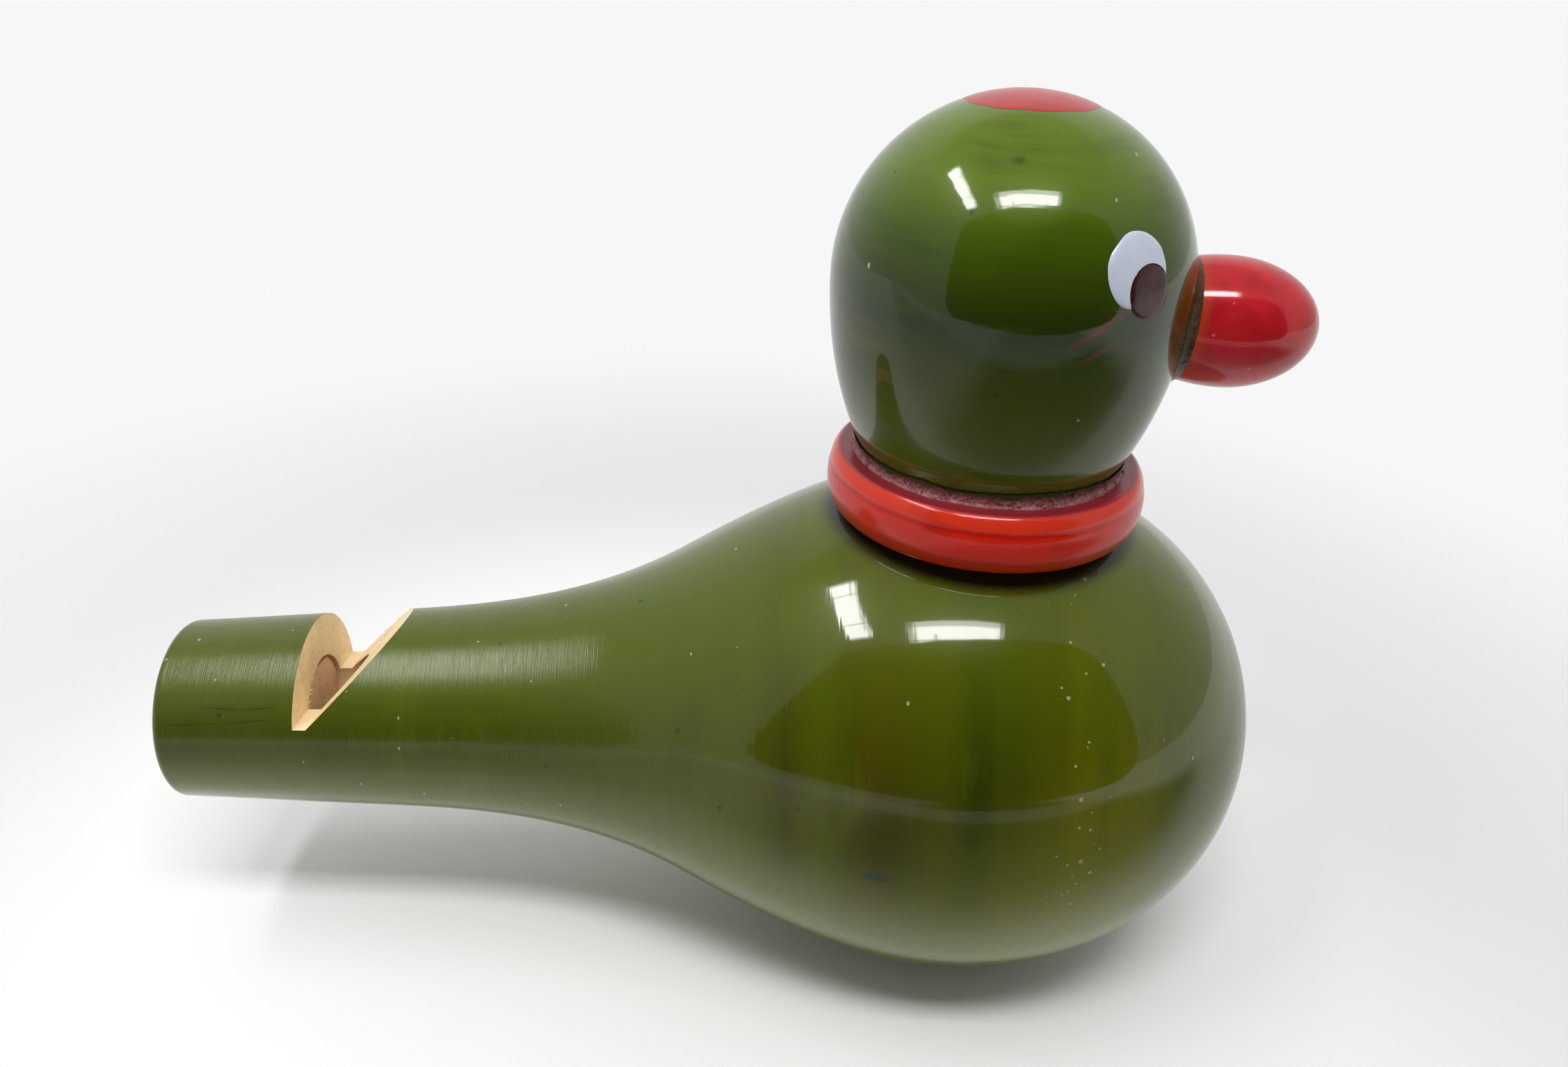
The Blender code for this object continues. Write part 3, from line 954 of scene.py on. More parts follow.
def shade_turned(
    piece: bpy.types.Object, normal_at: Callable[[Vector], Vector], off_deg: float = 9.0
) -> None:
    """Shade a cut piece by its true turned form, so that no cut dents the gloss.

    Args:
        piece: The piece, after its cuts.
        normal_at: Gives the turned form's normal at a point.
        off_deg: How far a face may look off that normal and still be part of
            the form, in degrees.
    """
    shade(piece)
    mesh = piece.data
    normals = [corner.vector.copy() for corner in mesh.corner_normals]
    true_at = [normal_at(vertex.co) for vertex in mesh.vertices]
    limit = math.cos(math.radians(off_deg))
    for face in mesh.polygons:
        on_form = face.normal.dot(normal_at(face.center)) >= limit
        if face.material_index == Coat.LACQUER.value and on_form:
            for corner in face.loop_indices:
                normals[corner] = true_at[mesh.loops[corner].vertex_index]
    mesh.normals_split_custom_set(normals)


def dress(
    piece: bpy.types.Object, slot: str, nodes: Sequence[str], *finishes: bpy.types.Material
) -> bpy.types.Object:
    """Give a piece its finishes and its body, hide the nodes it stands for, and log its slot.

    Args:
        piece: The piece.
        slot: The record's material slot.
        nodes: The CAD nodes that it replaces.
        *finishes: The materials, in the order of the coats.

    Returns:
        The piece.
    """
    slots = piece.data.materials
    while len(slots) > len(finishes):
        slots.pop()
    while len(slots) < len(finishes):
        slots.append(None)
    for index, finish in enumerate(finishes):
        slots[index] = finish
    if nodes:
        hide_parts(*nodes)
    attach(piece, ROOT)
    log.info("%s: %d faces, slot %s", piece.name, len(piece.data.polygons), slot)
    return piece


# --------------------------------------------------------------------------
# The body
# --------------------------------------------------------------------------


@dataclass
class Body:
    """The turned bulb and neck with its window, its chest plug and fipple block."""

    bulb_r: float = 0.0272
    chest_reach: float = 0.0312
    chest_fullness: float = 2.12
    flare_back: float = 0.0285
    flare_r: float = 0.0175
    flare_slope: float = 0.545
    neck_back: float = 0.0620
    neck_r: float = 0.0102
    neck_slope: float = 0.050
    tail_reach: float = 0.0808
    mouth_r: float = 0.0092
    mouth_round: float = 0.0008
    base_flat_depth: float = 0.0014
    bore_r: float = 0.0055
    bore_chamfer: float = 0.0002
    windway_height: float = 0.0008
    chamber_r: float = 0.0125
    chamber_back: float = 0.0140
    chamber_shoulder: float = 0.0040
    window_back: float = 0.0669
    window_floor_height: float = 0.0021
    window_floor_length: float = 0.0013
    window_ramp: float = math.radians(45.5)
    window_turn: float = math.radians(-11.0)
    cap_r: float = 0.0143
    cap_length: float = 0.0105
    seam: float = 0.00004
    seam_round: float = 0.00004
    block_set_back: float = 0.0004
    block_inset: float = 0.0001
    block_clear: float = 0.00004
    block_soft: float = 0.0002
    collar_x: float = 0.0009
    collar_seat_depth: float = 0.0026
    collar_foot_r: float = 0.0140
    dowel_r: float = 0.0040
    dowel_in_body: float = 0.0085
    gap: float = 0.0003
    darkest: Colour = (0.021, 0.028, 0.0007)
    steps: int = 320
    fibre_seed: int = 41
    ramp_fibres: int = 150
    ramp_rise: float = 0.0078
    fibre_length: tuple[float, float] = (0.00012, 0.00042)
    fibre_half: tuple[float, float] = (0.000015, 0.000035)
    rim_fibres: int = 26
    rim_fibre_length: tuple[float, float] = (0.0002, 0.0006)
    rim_fibre_half: float = 0.00007

    @property
    def axis_z(self) -> float:
        """The height of the turning axis over the table."""
        return self.bulb_r - self.base_flat_depth

    @property
    def seat_z(self) -> float:
        """The height of the flat that the collar sits on."""
        return self.axis_z + self.bulb_r - self.collar_seat_depth

    @property
    def lying(self) -> Matrix:
        """The placement of a piece turned about Z that lies along the body."""
        return Matrix.Translation((0.0, 0.0, self.axis_z)) @ Matrix.Rotation(math.pi / 2, 4, "Y")

    @property
    def window_frame(self) -> Matrix:
        """The frame of the window's outline, its Y leaving the turning axis."""
        turn = Matrix.Rotation(math.pi / 2 + self.window_turn, 4, "X")
        return Matrix.Translation((0.0, 0.0, self.axis_z)) @ turn

    @staticmethod
    def ease(
        t: float, start: float, end: float, start_slope: float, end_slope: float
    ) -> float:
        """Follow a smooth curve that leaves and arrives at given slopes.

        Args:
            t: How far along it, from 0 to 1.
            start: Its first height.
            end: Its last height.
            start_slope: Its slope at the start.
            end_slope: Its slope at the end.

        Returns:
            The height there.
        """
        return (
            (2 * t**3 - 3 * t**2 + 1) * start
            + (t**3 - 2 * t**2 + t) * start_slope
            + (3 * t**2 - 2 * t**3) * end
            + (t**3 - t**2) * end_slope
        )

    def stations(self) -> list[tuple[float, float, float, int]]:
        """List the outline's stations behind the widest ring.

        Returns:
            Each one's place, radius, slope and number of strips after it.
        """
        return [
            (0.0, self.bulb_r, 0.0, 56),
            (-self.flare_back, self.flare_r, self.flare_slope, 56),
            (-self.neck_back, self.neck_r, self.neck_slope, 36),
            (-self.tail_reach + self.mouth_round, self.mouth_r, self.neck_slope, 0),
        ]

    def radius(self, x: float) -> float:
        """Give the outer radius at a place along the axis.

        Args:
            x: The place along the axis.

        Returns:
            The radius.
        """
        if x >= 0.0:
            bend = 2 / self.chest_fullness
            share = min(1.0, x / self.chest_reach) ** (1 / bend)
            return self.bulb_r * max(0.0, 1 - share**2) ** (bend / 2)
        row = self.stations()
        for (x0, r0, s0, _), (x1, r1, s1, _) in zip(row, row[1:]):
            if x >= x1:
                span = x1 - x0
                return self.ease((x - x0) / span, r0, r1, s0 * span, s1 * span)
        return row[-1][1]

    def normal_at(self, point: Vector) -> Vector:
        """Give the outer surface's normal near a point.

        Args:
            point: A point on or near the surface.

        Returns:
            The normal.
        """
        step = 2 * HAIR
        x = point.x
        mouth_x = -self.tail_reach + self.mouth_round
        if x < mouth_x:
            a = math.asin(min(self.mouth_round, mouth_x - x) / self.mouth_round)
            along, out = -math.sin(a), math.cos(a)
        else:
            slope = (self.radius(x + step) - self.radius(x - step)) / (2 * step)
            along, out = -slope, 1.0
        side = Vector((0.0, point.y, point.z - self.axis_z))
        if side.length < 1e-9:
            return Vector((1.0, 0.0, 0.0))
        side.normalize()
        return Vector((along, out * side.y, out * side.z)).normalized()

    def chest(self, outer: float, inner: float, count: int) -> Profile:
        """Follow the chest from one radius to another, top first.

        Args:
            outer: The larger radius.
            inner: The smaller radius.
            count: The number of strips.

        Returns:
            The points.
        """
        bend = 2 / self.chest_fullness
        start = math.acos((inner / self.bulb_r) ** (1 / bend))
        end = math.acos(min(1.0, (outer / self.bulb_r) ** (1 / bend)))
        angles = [start + (end - start) * i / count for i in range(count + 1)]
        reach = self.chest_reach
        return [
            (self.bulb_r * abs(math.cos(a)) ** bend, reach * abs(math.sin(a)) ** bend)
            for a in angles
        ]

    def back(self) -> Profile:
        """Follow the body from its widest ring to the mouth's rounded end.

        Returns:
            The points.
        """
        points: Profile = []
        row = self.stations()
        for (x0, r0, s0, count), (x1, r1, s1, _) in zip(row, row[1:]):
            span = x1 - x0
            for i in range(count):
                r = self.ease(i / count, r0, r1, s0 * span, s1 * span)
                points.append((r, x0 + span * i / count))
        for a in quarter(8):
            inset = self.mouth_round * (1 - math.cos(a))
            behind = self.mouth_round * (1 - math.sin(a))
            points.append((self.mouth_r - inset, -self.tail_reach + behind))
        return points

    def shell_mesh(self) -> bpy.types.Object:
        """Turn the hollow body with a soft lip at the plug's seam.

        Returns:
            The uncut body.
        """
        lip_r = self.cap_r + self.seam
        chest = self.chest(self.bulb_r, lip_r + self.seam_round, 56)
        lip: Profile = []
        for a in quarter(4)[:0:-1]:
            inset = self.seam_round * (1 - math.sin(a))
            behind = self.seam_round * (1 - math.cos(a)) * 0.9
            lip.append((lip_r + inset, chest[0][1] - behind))
        outside = lip + chest[:-1] + self.back()
        shoulder = self.chest_reach - self.cap_length
        inside = [
            (self.bore_r + self.bore_chamfer, -self.tail_reach),
            (self.bore_r, -self.tail_reach + self.bore_chamfer),
            (self.bore_r, -self.chamber_back),
            (self.chamber_r, -self.chamber_back + self.chamber_shoulder),
            (self.chamber_r, shoulder),
            (lip_r, shoulder),
        ]
        coats = [Coat.LACQUER] * (len(outside) - 1) + [Coat.BARE] * (len(inside) + 1)
        work = turn_mesh(outside + inside, self.steps, closed=True, coats=coats)
        return to_piece("body_shell", work, self.lying)

    def window_cutter(self) -> bpy.types.Object:
        """Make the wedge that leaves an upright face, a narrow floor and a ramp.

        Returns:
            The cutter.
        """
        top = self.flare_r
        floor_end = -self.window_back + self.window_floor_length
        ramp_end = floor_end + (top - self.window_floor_height) / math.tan(self.window_ramp)
        outline = [
            (-self.window_back, self.window_floor_height),
            (floor_end, self.window_floor_height),
            (ramp_end, top),
            (-self.window_back, top),
        ]
        return prism(outline, 2 * self.flare_r, self.window_frame)

    def make_shell(self, lacquer: bpy.types.Material, wood: bpy.types.Material) -> None:
        """Cut the body and dress it.

        Args:
            lacquer: The green finish.
            wood: The finish of a bare cut.
        """
        shell = self.shell_mesh()
        above = self.axis_z + self.bulb_r + PAST
        at_collar = Matrix.Translation((self.collar_x, 0.0, 0.0))
        hole_r, hole_foot = self.dowel_r + self.gap, self.seat_z - self.dowel_in_body
        side, slab = self.bulb_r, PAST / 2
        table = [(-side, -side), (side, -side), (side, side), (-side, side)]
        carve(
            shell,
            [
                (self.window_cutter(), Coat.BARE),
                (drum(self.collar_foot_r, self.seat_z, above, at_collar, 256), Coat.LACQUER),
                (drum(hole_r, hole_foot, above, at_collar), Coat.BARE),
                (prism(table, slab, Matrix.Translation((0.0, 0.0, -slab))), Coat.LACQUER),
            ],
        )
        shade_turned(shell, self.normal_at)
        dress(shell, "body", ["body"], lacquer, wood)

    def make_chest_cap(self, lacquer: bpy.types.Material, wood: bpy.types.Material) -> None:
        """Turn the plug whose domed end carries on the line of the chest.

        Args:
            lacquer: The green finish.
            wood: The finish of its hidden side.
        """
        edge = self.cap_r - self.seam - self.seam_round
        dome = self.chest(edge, 0.0, 48)
        dome[0] = (0.0, self.chest_reach)
        top_x = dome[-1][1]
        lip = [
            (edge + self.seam_round * math.sin(a), top_x - self.seam_round * (1 - math.cos(a)))
            for a in quarter(4)[1:]
        ]
        foot = self.chest_reach - self.cap_length + self.gap
        profile = dome + lip + [(edge + self.seam_round, foot), (0.0, foot)]
        coats = [Coat.LACQUER] * (len(dome) + len(lip) - 1) + [Coat.BARE] * 2
        work = turn_mesh(profile, self.steps, closed=False, coats=coats)
        cap = to_piece("chest_plug", work, self.lying)
        shade(cap)
        dress(cap, "chest_cap", ["chest_cap"], lacquer, wood)

    def make_block(self, wood: bpy.types.Material) -> None:
        """Turn the plug in the mouth and plane its top to leave the windway.

        Args:
            wood: Its finish.
        """
        radius, soft = self.bore_r - self.block_clear, self.block_soft
        back = -self.tail_reach + self.block_inset
        front = -self.window_back - self.block_set_back
        profile = [
            (0.0, front),
            (radius - soft, front),
            (radius, front - soft),
            (radius, back + soft),
            (radius - soft, back),
            (0.0, back),
        ]
        block = to_piece("windway_block", turn_mesh(profile, 160, closed=False), self.lying)
        flat, side = self.bore_r - self.windway_height, self.bore_r + PAST
        low, high = back - PAST, front + PAST
        outline = [(low, flat), (high, flat), (high, side), (low, side)]
        carve(block, [(prism(outline, side, self.window_frame), Coat.LACQUER)])
        shade(block)
        dress(block, "fipple_block", ["fipple_block"], wood)

    def make_fibres(self, wood: bpy.types.Material) -> None:
        """Stand torn wood fibres on the edges of the window's ramp and upright face.

        Args:
            wood: Their finish.
        """
        chance = random.Random(self.fibre_seed)
        work = bmesh.new()
        floor_end = -self.window_back + self.window_floor_length
        turn = Matrix.Rotation(self.window_turn, 4, "X")
        for _ in range(self.ramp_fibres):
            rise = chance.uniform(0.0, self.ramp_rise)
            x = floor_end + rise / math.tan(self.window_ramp)
            height = self.window_floor_height + rise
            reach = math.sqrt(max(0.0, self.radius(x) ** 2 - height**2))
            y = -reach if chance.random() < 0.6 else reach
            y *= chance.uniform(0.972, 0.995)
            foot = turn @ Vector((x, y, height))
            sideways, fall = chance.uniform(-0.5, 0.5), -0.35 + chance.uniform(-0.7, 0.7)
            way = (turn @ Vector((-1.0, sideways, fall))).normalized()
            length = chance.uniform(*self.fibre_length)
            self.sliver(work, foot, foot + way * length, chance.uniform(*self.fibre_half))
        for _ in range(self.rim_fibres):
            a = chance.uniform(0.10, 0.62) * math.pi
            y, z = -self.bore_r * math.sin(a), self.bore_r * math.cos(a)
            foot = turn @ Vector((-self.window_back, y, z))
            foot.x += HAIR
            way = turn @ Vector((0.25, chance.uniform(0.4, 1.0), chance.uniform(-0.9, 0.2)))
            tip = foot + way.normalized() * chance.uniform(*self.rim_fibre_length)
            self.sliver(work, foot, tip, self.rim_fibre_half)
        fibres = to_piece("window_fibres", work, Matrix.Translation((0.0, 0.0, self.axis_z)))
        shade(fibres)
        dress(fibres, "body", [], wood)

    @staticmethod
    def sliver(work: bmesh.types.BMesh, foot: Vector, tip: Vector, half: float) -> None:
        """Add one four-sided sliver that tapers to its tip.

        Args:
            work: The mesh being made.
            foot: Where it stands.
            tip: Where it ends.
            half: Its half width at the foot.
        """
        way = (tip - foot).normalized()
        side = way.orthogonal().normalized() * half
        up = way.cross(side)
        ring = [work.verts.new(foot + part) for part in (side, up, -side, -up)]
        point = work.verts.new(tip)
        work.faces.new(ring[::-1])
        for i in range(4):
            work.faces.new([ring[i], ring[(i + 1) % 4], point])

    def lathe_bands(self) -> Bands:
        """List the edges of the bands that the lathe left, from the mouth to the chest.

        Returns:
            Each edge's place along the axis, with its colour.
        """
        dark, green = self.darkest, (0.035, 0.043, 0.0008)
        olive, brown = (0.051, 0.054, 0.0009), (0.053, 0.044, 0.0009)
        yellow, pale = (0.080, 0.083, 0.0012), (0.058, 0.072, 0.0012)
        neck = (0.048, 0.061, 0.0010)
        return (
            (-0.0810, neck),
            (-0.0420, neck),
            (-0.0300, pale),
            (-0.0230, pale),
            (-0.0205, olive),
            (-0.0192, green),
            (-0.0178, olive),
            (-0.0158, pale),
            (-0.0146, olive),
            (-0.0136, green),
            (-0.0122, brown),
            (-0.0096, brown),
            (-0.0088, olive),
            (-0.0056, olive),
            (-0.0042, green),
            (-0.0032, dark),
            (-0.0018, dark),
            (-0.0008, green),
            (0.0012, green),
            (0.0030, olive),
            (0.0048, olive),
            (0.0062, yellow),
            (0.0082, yellow),
            (0.0090, pale),
            (0.0100, yellow),
            (0.0135, yellow),
            (0.0150, pale),
            (0.0200, pale),
            (0.0312, pale),
        )

    def lacquer(self) -> bpy.types.Material:
        """Mix the body's green: its bands, stains, scratches, a paler patch and painted shade.

        Returns:
            The material.
        """
        bands = self.lathe_bands()
        # A paler patch low on the bulb's front right.
        paler_lower_right = Mark(
            (0.0060, -0.0260, 0.0200),
            (0.0160, 0.0240, 0.0220),
            (0.150, 0.155, 0.0022),
            share=0.6,
            edge=0.0,
        )
        # Painted shade: a darker patch on the bulb's front left, where less light falls.
        painted_shade_front_left = Mark(
            (-0.0105, -0.0245, 0.0290),
            (0.0036, 0.0100, 0.0075),
            (0.022, 0.029, 0.0016),
            share=0.5,
            edge=0.1,
        )
        # Painted shade: near black on the bulb in the gap under the collar, where the collar keeps
        # the light out.
        painted_shade_under_collar = Mark(
            (0.0009, 0.0, 0.0504),
            (0.0166, 0.0166, 0.0050),
            (0.003, 0.003, 0.001),
            share=0.95,
            edge=0.86,
        )
        smear = Mark(
            (-0.0108, -0.0254, 0.0255),
            (0.0017, 0.0015, 0.0006),
            (0.030, 0.040, 0.030),
            share=0.85,
        )
        thin = (0.0014, 0.00010)
        scratches = [
            Mark((x, y, z), (reach, *thin), self.darkest, tilt(pitch, 0.0), share=0.75, edge=0.3)
            for x, y, z, reach, pitch in (
                (-0.0740, -0.0078, 0.03135, 0.0028, 1.2),
                (-0.0702, -0.0080, 0.03145, 0.0024, -4.8),
                (-0.0768, -0.0084, 0.02995, 0.0038, -2.5),
                (-0.0712, -0.0086, 0.03035, 0.0032, -5.8),
            )
        ]
        marks = (paler_lower_right, painted_shade_front_left, painted_shade_under_collar, smear, *scratches)
        span = (bands[0][0], bands[-1][0])
        finish = GreenLacquer("green_lacquer_body", Grain.ALONG_X, span, bands, marks=marks)
        return finish.make()

    def build(self) -> None:
        """Build the body, its plug, its block and its fibres."""
        green, wood = self.lacquer(), BareWood("bare_wood").make()
        block = BareWood("block_wood", pale=(0.88, 0.57, 0.31), dark=(0.62, 0.36, 0.19)).make()
        self.make_shell(green, wood)
        self.make_chest_cap(green, wood)
        self.make_block(block)
        self.make_fibres(wood)


# --------------------------------------------------------------------------
# The collar
# --------------------------------------------------------------------------


@dataclass
class Collar:
    """The red ring on the crown of the bulb, its dowel and its bead of glue."""

    x: float = 0.0009
    foot_z: float = 0.0507
    ring_r: float = 0.0154
    height: float = 0.0058
    belly: float = 0.0027
    foot_r: float = 0.0140
    rim_r: float = 0.0141
    groove_z: float = 0.0042
    groove_depth: float = 0.00006
    groove_half: float = 0.00035
    hole_r: float = 0.0043
    dowel_r: float = 0.0040
    dowel_low: float = 0.0422
    dowel_high: float = 0.0675
    dowel_chamfer: float = 0.0006
    purple_r: float = 0.0144
    glue_inner_r: float = 0.01240
    glue_width: float = 0.0008
    glue_height: float = 0.0013
    glue_clear: float = 0.00002
    glue_around: int = 1200
    glue_across: int = 22
    grain_height: float = 0.00006
    grain_scale: float = 2600.0
    blisters: int = 150
    blister_across: tuple[float, float] = (0.15, 0.85)
    blister_r: tuple[float, float] = (0.00010, 0.00024)
    blister_seed: int = 7
    steps: int = 320

    def ring_profile(self) -> Profile:
        """Follow the ring's section, with a shallow groove under its shoulder.

        Returns:
            The closed section.
        """
        rim, foot = self.ring_r - self.rim_r, self.ring_r - self.foot_r
        belly, rise = self.belly, self.height - self.belly
        shoulder = [
            (self.rim_r + rim * math.sin(a), belly + rise * math.cos(a)) for a in quarter(40)
        ]
        heel = [
            (self.foot_r + foot * math.cos(a), belly * (1 - math.sin(a))) for a in quarter(24)[1:]
        ]
        line = [(r - self.groove(z), z) for r, z in shoulder + heel]
        hole = [(self.hole_r, 0.0), (self.hole_r, self.height)]
        return line + hole + [(self.glue_inner_r, self.height)]

    def groove(self, z: float) -> float:
        """Give the groove's depth at a height on the ring.

        Args:
            z: The height over the ring's foot.

        Returns:
            The depth.
        """
        return self.groove_depth * math.exp(-(((z - self.groove_z) / self.groove_half) ** 2))

    def make_ring(self) -> None:
        """Turn the ring and dress it."""
        work = turn_mesh(self.ring_profile(), self.steps, closed=True)
        ring = to_piece("collar_ring", work, Matrix.Translation((self.x, 0.0, self.foot_z)))
        shade(ring)
        top_z = self.foot_z + self.height
        finish = RedRing("red_collar", self.x, self.foot_z, top_z, self.purple_r)
        dress(ring, "collar", ["collar"], finish.make())

    def make_dowel(self, wood: bpy.types.Material) -> None:
        """Turn the pin that runs from the body through the ring into the head.

        Args:
            wood: Its finish.
        """
        inner = self.dowel_r - self.dowel_chamfer
        profile = [
            (0.0, self.dowel_high),
            (inner, self.dowel_high),
            (self.dowel_r, self.dowel_high - self.dowel_chamfer),
            (self.dowel_r, self.dowel_low + self.dowel_chamfer),
            (inner, self.dowel_low),
            (0.0, self.dowel_low),
        ]
        work = turn_mesh(profile, 96, closed=False)
        dowel = to_piece("neck_pin", work, Matrix.Translation((self.x, 0.0, 0.0)))
        shade(dowel)
        dress(dowel, "neck_dowel", ["neck_dowel"], wood)

    def blow_blisters(self) -> list[tuple[float, float, float]]:
        """Scatter the blisters in the glue.

        Returns:
            Each one's angle round the ring, share of the way across, and radius.
        """
        chance = random.Random(self.blister_seed)
        ranges = ((0, math.tau), self.blister_across, self.blister_r)
        return [
            tuple(chance.uniform(*ends) for ends in ranges) for _ in range(self.blisters)
        ]

    def glue_mesh(self, head: "Head") -> bmesh.types.BMesh:
        """Run a lumpy fillet of glue round the corner of ring and head.

        Args:
            head: The head, whose cheek the glue climbs.

        Returns:
            The mesh.
        """
        base_z = self.foot_z + self.height + self.glue_clear
        cheek_r = head.cheek_r(-head.cheek_height)
        foot_r = cheek_r + self.glue_clear
        blisters = self.blow_blisters()
        scale, across = self.grain_scale, self.glue_across
        work = bmesh.new()
        sections = []
        for i in range(self.glue_around):
            a = math.tau * i / self.glue_around
            cos_a, sin_a = math.cos(a), math.sin(a)
            swell = 1 + 0.22 * noise.noise(Vector((3 * cos_a, 3 * sin_a, 0.4)))
            ripple = 0.10 * noise.noise(Vector((26 * cos_a, 26 * sin_a, 2.0)))
            width, tall = self.glue_width * (swell + ripple), self.glue_height * (swell - ripple)
            section = []
            for j in range(across + 1):
                t = math.pi / 2 * j / across
                climb = tall * (1 - math.sin(t))
                lean = head.cheek_r(-head.cheek_height + climb) - cheek_r
                r, z = foot_r + lean + width * (1 - math.cos(t)), base_z + climb
                grain = noise.noise(Vector((r * scale * cos_a, r * scale * sin_a, z * scale)))
                lift = self.grain_height * grain
                here = a * (r + HAIR)
                for turn, spot, size in blisters:
                    along = (here - turn * r + math.pi * r) % (math.tau * r) - math.pi * r
                    over = (t / (math.pi / 2) - spot) * 1.6 * width
                    near = size**2 - along**2 - over**2
                    if near > 0:
                        lift = max(lift, 0.8 * math.sqrt(near))
                out = 0.7 * lift * min(1.0, 6.0 * min(j, across - j) / across)
                at = ((r + out) * cos_a + self.x, (r + out) * sin_a, z + out)
                section.append(work.verts.new(at))
            section.append(work.verts.new((foot_r * cos_a + self.x, foot_r * sin_a, base_z)))
            sections.append(section)
        join_sections(work, sections)
        return work

    def make_glue(self, head: "Head") -> None:
        """Make the glue and dress it.

        Args:
            head: The head, whose cheek the glue climbs.
        """
        glue = to_piece("collar_glue_bead", self.glue_mesh(head))
        shade(glue, 60.0)
        finish = DriedGlue("mauve_glue", (0.15, 0.026, 0.034), (0.37, 0.170, 0.16), rim=0.0570)
        dress(glue, "collar_glue", ["collar_glue"], finish.make())

    def build(self, head: "Head") -> None:
        """Build the ring, its dowel and its glue.

        Args:
            head: The head that the glue holds.
        """
        self.make_ring()
        self.make_dowel(BareWood("dowel_wood").make())
        self.make_glue(head)


# --------------------------------------------------------------------------
# The head
# --------------------------------------------------------------------------


